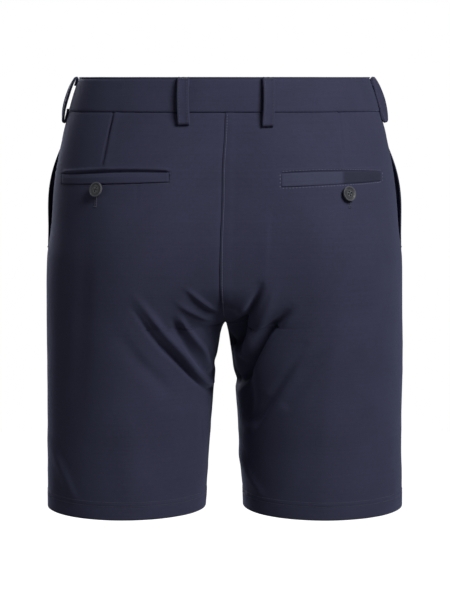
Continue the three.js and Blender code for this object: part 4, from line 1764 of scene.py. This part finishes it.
@dataclass
class SewnButton:
    """A four-hole button on its thread shank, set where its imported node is."""

    name: str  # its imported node
    turned: float  # degrees that it is turned on its shank
    radius: float = 7.5  # half its width
    thickness: float = 2.3  # its thickness at the rim
    rim: float = 1.6  # width of the raised rim
    hole: float = 1.05  # radius of a sewing hole
    spread: float = 2.05  # distance of a hole from the middle
    shank: float = 2.3  # length of the wound thread below it
    stand: float = 0.3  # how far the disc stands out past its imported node's middle

    def disc(self) -> Piece:
        """The button with its rim and holes, lying at the origin with its face up.

        Returns:
            The disc's object.
        """
        bpy.ops.object.select_all(action="DESELECT")
        bpy.ops.mesh.primitive_cylinder_add(
            vertices=56, radius=self.radius * MM, depth=self.thickness * MM, end_fill_type="NGON"
        )
        disc = bpy.context.active_object
        disc.name = disc.data.name = f"disc_{self.name}"
        self.inset_face(disc, self.rim, -0.15, up=True)
        self.inset_face(disc, 0.6, -0.55, up=True)
        self.inset_face(disc, 2.0, 0.12, up=True)
        self.inset_face(disc, 1.4, 0.35, up=False)
        finish_modifier(disc, "BEVEL", width=0.32 * MM, segments=3, limit_method="ANGLE")
        cutters = [self.cutter(quarter) for quarter in range(4)]
        cutter = joined(cutters, f"cutter_{self.name}")
        finish_modifier(disc, "BOOLEAN", object=cutter, operation="DIFFERENCE", solver="EXACT")
        bpy.data.objects.remove(cutter)
        only(disc)
        bpy.ops.object.shade_smooth_by_angle(angle=math.radians(32))
        return disc

    def inset_face(self, disc: Piece, inward: float, lift: float, up: bool) -> None:
        """Insets the disc's widest flat face and moves the new face along its normal.

        Args:
            disc: the disc.
            inward: how far in.
            lift: how far along the face's normal.
            up: True for the upper face.
        """
        only(disc)
        way = 1 if up else -1
        flat = [face for face in disc.data.polygons if face.normal.z * way > 0.99]
        middle = min(flat, key=lambda face: face.center.xy.length - face.area)
        for face in disc.data.polygons:
            face.select = face.index == middle.index
        for edge in disc.data.edges:
            edge.select = False
        for vertex in disc.data.vertices:
            vertex.select = vertex.index in set(middle.vertices)
        bpy.ops.object.mode_set(mode="EDIT")
        bpy.ops.mesh.select_mode(type="FACE")
        bpy.ops.mesh.inset(thickness=inward * MM, depth=lift * MM)
        bpy.ops.object.mode_set(mode="OBJECT")

    def cutter(self, quarter: int) -> Piece:
        """A round bar through one sewing hole.

        Args:
            quarter: which hole, from 0 to 3.

        Returns:
            The bar's object.
        """
        turn = math.radians(self.turned + 45 + 90 * quarter)
        bpy.ops.object.select_all(action="DESELECT")
        bpy.ops.mesh.primitive_cylinder_add(
            vertices=18, radius=self.hole * MM, depth=4 * self.thickness * MM,
            location=(self.spread * MM * math.cos(turn), self.spread * MM * math.sin(turn), 0),
        )
        bar = bpy.context.active_object
        only(bar)
        bpy.ops.object.transform_apply(location=True, rotation=True, scale=True)
        return bar

    def sewing(self, thread: Thread) -> Piece:
        """The threads across the holes and the wound shank below, as the disc lies.

        Args:
            thread: the thread.

        Returns:
            The sewing's object.
        """
        face = self.thickness / 2 - 0.62
        starts, ends = [], []
        for pair in range(2):
            turn = math.radians(self.turned + 45 + 90 * pair)
            for strand in (-0.28, 0.0, 0.28):
                aside = strand * np.array([-math.sin(turn), math.cos(turn), 0])
                reach = self.spread * np.array([math.cos(turn), math.sin(turn), 0])
                starts.append(aside - reach + (0, 0, face + 0.25 * pair))
                ends.append(aside + reach + (0, 0, face + 0.25 * pair))
        for wound in range(6):
            height = -self.thickness / 2 - 0.1 - wound * self.shank / 6
            for side in range(10):
                turn, after = 0.2 * math.pi * side, 0.2 * math.pi * (side + 1)
                starts.append(np.array([1.7 * math.cos(turn), 1.7 * math.sin(turn), height]))
                ends.append(np.array([1.7 * math.cos(after), 1.7 * math.sin(after), height]))
        first, last = np.array(starts), np.array(ends)
        middle = (first + last) / 2
        outward = unit(middle * np.array([1, 1, 0]))
        outward[:6] = (0, 0, 1)
        return thread.bodies(f"sewing_{self.name}", first, last, outward)

    def build(self, thread: Thread, normal: Array) -> list[Piece]:
        """The button and its sewing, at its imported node's place and facing along the cloth's normal.

        Args:
            thread: the thread.
            normal: the direction that the button faces.

        Returns:
            The disc's object and the sewing's object.
        """
        low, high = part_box(self.name)
        centre = (Vector(low) + Vector(high)) / 2
        way = Vector(normal).normalized()
        turn = Vector((0, 0, 1)).rotation_difference(way)
        place = Matrix.Translation(centre + way * self.stand * MM) @ turn.to_matrix().to_4x4()
        pieces = [self.disc(), self.sewing(thread)]
        for piece in pieces:
            piece.data.transform(place)
        return pieces


# ---- finishes


class Graph:
    """A short way to place and link shader nodes in a node tree."""

    def __init__(self, tree: bpy.types.NodeTree) -> None:
        """Takes over a node tree."""
        self.tree = tree

    def add(self, kind: str, settings: dict[str, object] | None = None, **inputs: Value) -> bpy.types.Node:
        """Adds a node.

        Args:
            kind: the node's type without the ShaderNode in front.
            settings: the node's own properties.
            inputs: sockets or constants by input name, with _ for a space.

        Returns:
            The node.
        """
        full = kind if kind.startswith("Node") else f"ShaderNode{kind}"
        node = self.tree.nodes.new(full)
        for name, value in (settings or {}).items():
            setattr(node, name, value)
        self.fill(node, **inputs)
        return node

    def fill(self, node: bpy.types.Node, **inputs: Value) -> None:
        """Links sockets or sets constants on a node's inputs, by name with _ for a space."""
        for name, value in inputs.items():
            self.put(node.inputs[name.replace("_", " ")], value)

    def put(self, socket: Socket, value: Value) -> None:
        """Links a socket into another, or sets a constant on it.

        Args:
            socket: the input.
            value: a socket or a constant.
        """
        if isinstance(value, Socket):
            self.tree.links.new(value, socket)
        else:
            socket.default_value = value

    def math(self, operation: str, *values: Value) -> Socket:
        """The result of a maths node on sockets or numbers.

        Args:
            operation: the node's operation.
            values: what it works on.

        Returns:
            The result.
        """
        node = self.add("Math", {"operation": operation})
        for socket, value in zip(node.inputs, values):
            self.put(socket, value)
        return node.outputs[0]

    def mix(self, share: Value, first: Value, second: Value, blend: str = "MIX") -> Socket:
        """Two colours mixed by a share.

        Args:
            share: how much of the second.
            first: a colour.
            second: another.
            blend: how they are mixed.

        Returns:
            The mixed colour.
        """
        node = self.add("Mix", {"data_type": "RGBA", "blend_type": blend})
        for number, value in ((0, share), (6, first), (7, second)):
            self.put(node.inputs[number], value)
        return node.outputs[2]

    def shaded(self, colour: Socket, shade: Socket) -> Socket:
        """A colour made lighter or darker by a factor."""
        grey = self.add("CombineColor", Red=shade, Green=shade, Blue=shade).outputs[0]
        return self.mix(1.0, colour, grey, "MULTIPLY")

    def raised(self, height: Socket, distance: float, strength: float) -> Socket:
        """The normal of a surface with a fine relief."""
        return self.add("Bump", Height=height, Distance=distance, Strength=strength).outputs[0]

    def noise(self, vector: Socket, scale: float, detail: float) -> Socket:
        """A cloudy value from 0 to 1."""
        return self.add("TexNoise", Vector=vector, Scale=scale, Detail=detail).outputs["Fac"]

    def scaled(self, vector: Socket, *factors: float) -> Socket:
        """A vector with each axis scaled.

        Args:
            vector: the vector.
            factors: one for each axis.

        Returns:
            The scaled vector.
        """
        node = self.add("VectorMath", {"operation": "MULTIPLY"})
        self.put(node.inputs[0], vector)
        self.put(node.inputs[1], tuple(factors))
        return node.outputs[0]

    def range(self, value: Socket, low: float, high: float, to_low: float, to_high: float) -> Socket:
        """A value carried from one range to another, held at its ends."""
        node = self.add("MapRange", Value=value, From_Min=low, From_Max=high, To_Min=to_low, To_Max=to_high)
        return node.outputs[0]


def new_material(name: str) -> tuple[Material, Graph, bpy.types.Node]:
    """A new material, its graph and its shader."""
    made = bpy.data.materials.new(name)
    made.use_nodes = True
    return made, Graph(made.node_tree), made.node_tree.nodes["Principled BSDF"]


def socket_group(name: str, inputs: dict[str, str], outputs: dict[str, str]) -> tuple:
    """A new shader node group with its sockets.

    Args:
        name: the group's name.
        inputs: kind of each input by name.
        outputs: kind of each output by name.

    Returns:
        The group, its graph, its input node and its output node.
    """
    tree = bpy.data.node_groups.new(name, "ShaderNodeTree")
    for direction, sockets in (("INPUT", inputs), ("OUTPUT", outputs)):
        for socket, kind in sockets.items():
            tree.interface.new_socket(socket, in_out=direction, socket_type=f"NodeSocket{kind}")
    graph = Graph(tree)
    return tree, graph, graph.add("NodeGroupInput"), graph.add("NodeGroupOutput")


def weave_group() -> bpy.types.NodeTree:
    """The woven cloth: fine diagonal ribs, uneven threads and a slight fading.

    Returns:
        The node group.
    """
    inputs = {"Vector": "Vector", "Colour": "Color", "Rib Pitch": "Float"}
    outputs = {"Colour": "Color", "Roughness": "Float", "Height": "Float"}
    tree, graph, given, result = socket_group("twill weave", inputs, outputs)
    flat = given.outputs["Vector"]
    split = graph.add("SeparateXYZ", Vector=flat)
    diagonal = graph.math("ADD", split.outputs["X"], graph.math("MULTIPLY", split.outputs["Y"], 0.9))
    turns = graph.math("DIVIDE", diagonal, given.outputs["Rib Pitch"])
    wave = graph.math("SINE", graph.math("MULTIPLY", turns, 2 * math.pi))
    rib = graph.math("MULTIPLY_ADD", wave, 0.5, 0.5)
    weft = graph.noise(graph.scaled(flat, 160, 1900, 1), 1.0, 3.0)
    warp = graph.noise(graph.scaled(flat, 1700, 120, 1), 1.0, 3.0)
    cloudy = graph.noise(graph.scaled(flat, 26, 26, 1), 1.0, 4.0)
    streaks = graph.noise(graph.scaled(flat, 12, 520, 1), 1.0, 4.0)
    threads = graph.math("ADD", graph.math("MULTIPLY", weft, 0.55), graph.math("MULTIPLY", warp, 0.45))
    shade = graph.range(cloudy, 0.3, 0.7, 0.93, 1.07)
    parts = ((streaks, 0.3, 0.7, 0.05), (threads, 0.35, 0.65, 0.13), (rib, 0, 1, 0.05))
    for value, low, high, most in parts:
        shade = graph.math("ADD", shade, graph.range(value, low, high, -most, most))
    graph.fill(
        result,
        Colour=graph.shaded(given.outputs["Colour"], shade),
        Roughness=graph.range(cloudy, 0.3, 0.7, 0.82, 0.9),
        Height=graph.math("ADD", graph.math("MULTIPLY", threads, 0.6), graph.math("MULTIPLY", rib, 0.4)),
    )
    return tree


@dataclass(frozen=True)
class ClothFinish:
    """A dyed cotton cloth, which can carry painted shade over part of its length."""

    name: str
    colour: Colour  # its dye, linear
    rib_pitch: float = 0.0009  # distance between two ribs of the weave, in metres
    relief: float = 0.00012  # height of the weave, in metres
    sheen: float = 0.22  # strength of the fine nap
    sheen_tint: Colour = (0.45, 0.5, 0.85, 1.0)  # colour of the nap
    pressed: float = 0.0  # how far along the cloth its painted shade ends, in metres
    pressed_ease: float = 0.002  # half the length over which it ends, in metres
    pressed_shade: float = 0.55  # how dark the painted shade is

    def material(self, weave: bpy.types.NodeTree) -> Material:
        """The finish as a material that reads the cloth's own flat coordinates.

        Args:
            weave: the woven cloth's node group.

        Returns:
            The material.
        """
        made, graph, shader = new_material(self.name)
        flat = graph.add("UVMap", {"uv_map": "Cloth"}).outputs[0]
        woven = graph.add(
            "Group", {"node_tree": weave}, Vector=flat, Colour=self.colour, Rib_Pitch=self.rib_pitch
        )
        tone = woven.outputs["Colour"]
        # painted shade: the cloth is darkened up to a place along its flat coordinates
        if self.pressed:
            along = graph.add("SeparateXYZ", Vector=flat).outputs["X"]
            ease = self.pressed_ease
            shade = graph.range(along, self.pressed - ease, self.pressed + ease, self.pressed_shade, 1.0)
            tone = graph.shaded(tone, shade)
        graph.fill(
            shader, Base_Color=tone, Roughness=woven.outputs["Roughness"],
            Normal=graph.raised(woven.outputs["Height"], self.relief, 0.8), Specular_IOR_Level=0.12,
            Sheen_Weight=self.sheen, Sheen_Roughness=0.45, Sheen_Tint=self.sheen_tint,
        )
        return made


@dataclass(frozen=True)
class ThreadFinish:
    """Sewing thread, a little shinier than the cloth."""

    name: str
    colour: Colour
    roughness: float = 0.55

    def material(self) -> Material:
        """The finish as a material, with painted shade in the hollows between the thread's strands.

        Returns:
            The material.
        """
        made, graph, shader = new_material(self.name)
        strands = graph.noise(graph.add("TexCoord").outputs["Object"], 2600.0, 2.0)
        # painted shade: darker where the strands' bump is low
        between = (*(0.72 * part for part in self.colour[:3]), 1.0)
        graph.fill(
            shader, Base_Color=graph.mix(strands, between, self.colour), Roughness=self.roughness,
            Sheen_Weight=0.15, Normal=graph.raised(strands, 0.00008, 0.6),
        )
        return made


@dataclass(frozen=True)
class ResinFinish:
    """A button's cast resin, polished unevenly, with a painted highlight on its rim."""

    name: str
    colour: Colour
    # colour of the painted highlight on the rim
    painted_rim_highlight: Colour
    roughness: float = 0.42

    def material(self) -> Material:
        """The finish as a material, with a painted highlight where its edges stand out.

        Returns:
            The material.
        """
        made, graph, shader = new_material(self.name)
        clouds = graph.noise(graph.add("TexCoord").outputs["Object"], 420.0, 3.0)
        # painted highlight: paler colour on the rim's edges, found by their pointiness
        painted_rim_highlight = graph.range(graph.add("NewGeometry").outputs["Pointiness"], 0.5, 0.58, 0.0, 0.85)
        graph.fill(
            shader, Base_Color=graph.mix(painted_rim_highlight, self.colour, self.painted_rim_highlight), Specular_IOR_Level=0.4,
            Roughness=graph.range(clouds, 0.3, 0.7, self.roughness - 0.06, self.roughness + 0.1),
        )
        return made


@dataclass(frozen=True)
class MetalFinish:
    """Plain metal of the zip, slightly scratched."""

    name: str
    colour: Colour
    roughness: float = 0.34

    def material(self) -> Material:
        """The finish as a material with long fine scratches.

        Returns:
            The material.
        """
        made, graph, shader = new_material(self.name)
        place = graph.scaled(graph.add("TexCoord").outputs["Object"], 900, 900, 140)
        scratches = graph.noise(place, 1.0, 3.0)
        graph.fill(
            shader, Base_Color=self.colour, Metallic=1.0, Normal=graph.raised(scratches, 0.00002, 0.4),
            Roughness=graph.range(scratches, 0.3, 0.7, self.roughness - 0.08, self.roughness + 0.1),
        )
        return made


@dataclass(frozen=True)
class FloorFinish:
    """A plain white floor, as white as the air round it wherever it is looked at."""

    name: str
    colour: Colour = (0.25, 0.25, 0.25, 1.0)

    def material(self) -> Material:
        """The finish as a material that gives off its white towards the camera alone.

        Returns:
            The material.
        """
        made, graph, shader = new_material(self.name)
        graph.fill(
            shader, Base_Color=self.colour, Roughness=0.9, Emission_Color=(1.0, 1.0, 1.0, 1.0),
            Emission_Strength=graph.add("LightPath").outputs["Is Camera Ray"],
        )
        return made


NAVY = ClothFinish("navy twill", (0.030, 0.0310, 0.059, 1.0))
# a lighter copy of the navy for the right welt, with painted shade over its outer part
SHADE_PAINTED_NAVY = ClothFinish("navy twill painted shade", (0.036, 0.038, 0.068, 1.0), pressed=0.044)
# the same navy darkened for the facings: painted shade inside the slant pockets' mouths
FACING_NAVY_PAINTED_SHADE = ClothFinish("navy pocket twill", (0.022, 0.023, 0.040, 1.0))
ZIP_TAPE = ClothFinish("navy zip tape", (0.016, 0.017, 0.030, 1.0), 0.0014, 0.0001)
THREAD = ThreadFinish("navy thread", (0.034, 0.037, 0.066, 1.0))
# a thread paler than the cloth's
BRIGHT_THREAD = ThreadFinish("pale navy thread", (0.15, 0.16, 0.24, 1.0))
BUTTON_THREAD = ThreadFinish("black navy thread", (0.006, 0.006, 0.009, 1.0))
# dark grey, with a pale painted highlight on the rim
RESIN = ResinFinish("dark grey resin", (0.024, 0.026, 0.03, 1.0), (0.14, 0.147, 0.165, 1.0))
ZIP_METAL = MetalFinish("aged zip metal", (0.36, 0.34, 0.31, 1.0))


def dress(pieces: list[Piece], material: Material) -> None:
    """Gives pieces their finish and their place in the frame.

    Args:
        pieces: the objects.
        material: their finish.
    """
    for piece in pieces:
        piece.data.materials.clear()
        piece.data.materials.append(material)
        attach(piece, "root")


# ---- studio


def looking(name: str, data: bpy.types.ID, place: Point, aim: Point) -> Piece:
    """A light or a camera in its place, turned towards its aim.

    Args:
        name: the object's name.
        data: the light or camera.
        place: where it stands.
        aim: what it faces.

    Returns:
        The object.
    """
    made = in_scene(name, data)
    made.location = place
    made.rotation_euler = (Vector(aim) - Vector(place)).to_track_quat("-Z", "Y").to_euler()
    return made


@dataclass(frozen=True)
class SoftLight:
    """A square soft light: where it stands, what it lights, its size and its power."""

    name: str
    place: Point
    size: float
    power: float
    aim: Point = (0.0, 0.0, -0.21)

    def build(self) -> Piece:
        """Makes the light.

        Returns:
            The light's object.
        """
        lamp = bpy.data.lights.new(self.name, "AREA")
        lamp.shape = "SQUARE"
        lamp.size, lamp.energy = self.size, self.power
        return looking(self.name, lamp, self.place, self.aim)


SOFT_LIGHTS = (
    SoftLight("key light", (1.15, -1.5, 1.1), 0.9, 59.0),
    SoftLight("fill light", (-2.2, -0.7, 0.35), 0.9, 4.6),
    SoftLight("front light", (-0.9, 2.2, 0.9), 1.2, 60.0),
)


@dataclass(frozen=True)
class Studio:
    """The white studio: camera, lights, surroundings and floor."""

    eye: Point = (0.0005, -2.34, 0.0175)
    aim: Point = (0.0005, 0.0, -0.2166)
    lens: float = 133.8
    surroundings: float = 0.09  # strength of the even light from all round
    floor_height: float = -1.0

    def camera(self) -> Piece:
        """A long lens that looks straight at the back.

        Returns:
            The camera's object.
        """
        lens = bpy.data.cameras.new("camera")
        lens.sensor_width, lens.lens = 36.0, self.lens
        made = looking("camera", lens, self.eye, self.aim)
        bpy.context.scene.camera = made
        return made

    def world(self) -> None:
        """Even light from all round, in front of plain white."""
        world = bpy.data.worlds.new("studio")
        bpy.context.scene.world = world
        world.use_nodes = True
        graph = Graph(world.node_tree)
        seen = graph.add("LightPath").outputs["Is Camera Ray"]
        strength = graph.range(seen, 0, 1, self.surroundings, 1.0)
        graph.fill(world.node_tree.nodes["Background"], Strength=strength, Color=(1.0, 1.0, 1.0, 1.0))

    def floor(self) -> Piece:
        """A wide white floor well below the garment.

        Returns:
            The floor's object.
        """
        bpy.ops.object.select_all(action="DESELECT")
        bpy.ops.mesh.primitive_plane_add(size=8.0, location=(0, 0, self.floor_height))
        made = bpy.context.active_object
        made.name = made.data.name = "floor"
        made.data.materials.append(FloorFinish("white floor").material())
        return made

    def build(self) -> None:
        """Sets up the whole studio."""
        scene = bpy.context.scene
        scene.view_settings.view_transform = "Standard"
        scene.view_settings.look = "None"
        self.camera()
        self.world()
        self.floor()
        for light in SOFT_LIGHTS:
            light.build()


# ---- the whole garment


class Finishes(NamedTuple):
    """The materials of the garment."""

    navy: Material
    pressed_navy: Material
    pocket_navy: Material
    tape: Material
    sewing: Material
    bright_sewing: Material
    button_sewing: Material
    resin: Material
    metal: Material


def all_finishes() -> Finishes:
    """Makes every material of the garment.

    Returns:
        The materials.
    """
    weave = weave_group()
    cloths = [finish.material(weave) for finish in (NAVY, SHADE_PAINTED_NAVY, FACING_NAVY_PAINTED_SHADE, ZIP_TAPE)]
    others = [finish.material() for finish in (THREAD, BRIGHT_THREAD, BUTTON_THREAD, RESIN, ZIP_METAL)]
    return Finishes(*cloths, *others)


@dataclass
class Shorts:
    """The garment, built piece by piece and dressed."""

    form: GarmentForm
    finishes: Finishes
    thread: Thread = Thread()

    def __post_init__(self) -> None:
        """Lays out the pockets, the fly and the four panels."""
        self.slant, self.fly = SlantPocket(self.form), Fly()
        self.panels = {
            (side, face): Panel(side, face, self.form, self.slant, self.fly)
            for side in Side
            for face in Face
        }
        self.band = Waistband(self.form)

    def sew(self, stitches: Piece, bright: bool = False) -> Piece:
        """Dresses stitches in thread."""
        dress([stitches], self.finishes.bright_sewing if bright else self.finishes.sewing)
        return stitches

    def cloth(self, piece: Piece, node: str) -> Piece:
        """Dresses a piece of shell cloth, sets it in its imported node's place and reports it.

        Args:
            piece: the piece.
            node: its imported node.

        Returns:
            The piece.
        """
        dress([piece], self.finishes.navy)
        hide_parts(node)
        log.info("%s: %d faces", piece.name, len(piece.data.polygons))
        return piece

    def add_button(self, button: SewnButton, normal: Array) -> None:
        """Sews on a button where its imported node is.

        Args:
            button: the button.
            normal: the direction that it faces.
        """
        disc, sewing = button.build(self.thread, normal)
        dress([disc], self.finishes.resin)
        dress([sewing], self.finishes.button_sewing)
        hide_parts(button.name)

    def add_panels(self) -> None:
        """The backs and the fronts with their hems, and the fly's and the pockets' stitches."""
        for panel in self.panels.values():
            piece = self.cloth(panel.build(), panel.name)
            sewn = [self.sew(panel.hem_stitches(self.thread))]
            if panel.name == "back_right":
                sewn.append(self.sew(self.seat_stitches(panel), bright=True))
            if panel.face is Face.FRONT:
                sewn.append(self.sew(self.mouth_stitches(panel)))
                if panel.side is Side.LEFT:
                    sewn.append(self.sew(self.fly_stitches(panel)))
            widest = panel.length_at(205.0) * MM + 0.016

    def seat_stitches(self, panel: Panel) -> Piece:
        """The row beside the centre back seam, on the back that the seam is pressed towards.

        Args:
            panel: the right back.

        Returns:
            The stitches' object.
        """
        drops = np.linspace(37, self.form.crotch_drop - 10, 150)
        shares = np.array([panel.share_at(2.0, drop, from_centre=True) for drop in drops])
        fine = Thread(radius=0.27, length=1.5, gap=1.3)
        return panel.stitched("seat_stitches", shares, drops, fine)

    def mouth_stitches(self, panel: Panel) -> Piece:
        """A row beside a slant pocket's mouth, with a bar at each end.

        Args:
            panel: the front.

        Returns:
            The stitches' object.
        """
        drops = np.linspace(39, self.slant.end_drop - 4, 160)
        shares = np.array([panel.share_at(6.0, drop) for drop in drops])
        row = panel.stitched(f"mouth_row_{panel.side.word}", shares, drops, self.thread)
        bars = []
        for end, drop in enumerate((44.0, self.slant.end_drop - 8)):
            places = np.arange(0.9, 7.5, 0.55)
            first = np.array([panel.share_at(place, drop) for place in places])
            level = np.full(first.shape, drop)
            bars.append(self.thread.bodies(
                f"mouth_bar_{panel.side.word}_{end}",
                panel.surface(first, level - 0.9, 0.1), panel.surface(first, level + 0.9, 0.1),
                panel.normal(first, level),
            ))
        return joined([row, *bars], f"mouth_stitches_{panel.side.word}")

    def fly_stitches(self, panel: Panel) -> Piece:
        """The J of stitches on the left front.

        Args:
            panel: the left front.

        Returns:
            The stitches' object.
        """
        line = self.fly.stitch_line()
        shares = np.array([panel.share_at(across, drop, from_centre=True) for across, drop in line])
        return panel.stitched("fly_stitches", shares, line[:, 1], self.thread)

    def add_pockets(self) -> None:
        """The back pockets' welts, buttons and buttonholes, and the slant pockets' facings."""
        for pocket in BACK_POCKETS:
            panel = self.panels[pocket.side, Face.BACK]
            welt = Welt(pocket, panel)
            piece = self.cloth(welt.build(), welt.name)
            # this welt's outer part gets painted shade
            if pocket.pressed:
                piece.data.materials[0] = self.finishes.pressed_navy
            thread = Thread(radius=0.3, length=1.6, gap=1.7) if pocket.pressed else self.thread
            sewn = self.sew(welt.stitches(thread), bright=pocket.pressed)
            f"cloth_{panel.name}"
            self.add_pocket_button(pocket, panel)
        for side in Side:
            facing = PocketFacing(side, self.slant)
            piece = facing.build()
            # the facing is dressed in navy darkened with painted shade
            dress([piece], self.finishes.pocket_navy)
            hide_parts(facing.name)
            front = f"cloth_front_{side.word}"

    def add_pocket_button(self, pocket: BackPocket, panel: Panel) -> None:
        """A back pocket's button, and the buttonhole that shows above and below it.

        Args:
            pocket: the pocket.
            panel: the back that it is in.
        """
        low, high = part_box(pocket.button)
        centre = (Vector(low) + Vector(high)) / 2 / MM
        across, drop = abs(centre.x), self.form.band_height / 2 - centre.z
        share = self.form.share_across(np.array(across), np.array(drop))
        normal = panel.normal(share, np.array(drop))
        self.add_button(SewnButton(pocket.button, turned=8.0 * pocket.side), normal)

        def place(along: Array, beside: Array, out: float) -> Array:
            """Places below and beside the buttonhole's upper end."""
            drops = pocket.hole_foot - pocket.hole_reach + along
            shares = self.form.share_across(across + beside + 0.04 * (drops - drop), drops)
            return panel.surface(shares, drops, out)

        def facing(along: Array, beside: Array) -> Array:
            """Outward directions at the same places."""
            drops = pocket.hole_foot - pocket.hole_reach + along
            return panel.normal(self.form.share_across(across + beside, drops), drops)

        hole = Buttonhole(place, facing, pocket.hole_reach - 1.5)
        self.sew(hole.build(f"pocket_hole_{pocket.side.word}", self.thread))

    def add_band(self) -> None:
        """The waistband with its belt loops, its buttonhole and its button."""
        band, drop = self.cloth(self.band.build(), "waistband"), self.band.height / 2

        def turn_at(along: Array) -> Array:
            """Turns at distances along the waist buttonhole."""
            return self.band.hole_turn - along / self.form.around_length(drop)

        def place(along: Array, beside: Array, out: float) -> Array:
            """Places along and beside the waist buttonhole."""
            return self.band.surface(turn_at(along), drop + beside, out)

        def facing(along: Array, beside: Array) -> Array:
            """Outward directions at the same places."""
            return self.form.around_normal(turn_at(along), drop + beside)

        hole = Buttonhole(place, facing, 19.0, half_width=1.4)
        sewn = self.sew(hole.build("waist_hole", self.thread))
        for loop in BELT_LOOPS:
            piece = self.cloth(loop.build(), loop.name)
            sewn = self.sew(loop.stitches(self.thread))
        normal = self.form.around_normal(np.array(self.band.button_turn), np.array(drop))
        self.add_button(SewnButton("waist_button", turned=14.0), normal)

    def add_fly(self) -> None:
        """The zip, its slider and the cloth behind it."""
        closing = FlyClosing(self.form)
        shield = self.cloth(closing.shield(), "fly_shield")
        tapes, teeth = closing.tapes(), closing.teeth()
        dress([tapes], self.finishes.tape)
        dress([teeth], self.finishes.metal)
        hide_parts("zip_tape")
        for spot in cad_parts["zip_slider"].material_slots:
            spot.material = self.finishes.metal


def main() -> None:
    """Builds the studio and the garment, in order."""
    logging.basicConfig(level=logging.INFO, format="%(name)s: %(message)s")
    Studio().build()
    shorts = Shorts(GarmentForm(), all_finishes())
    shorts.add_band()
    shorts.add_panels()
    shorts.add_pockets()
    shorts.add_fly()


if __name__ == "__main__":
    main()
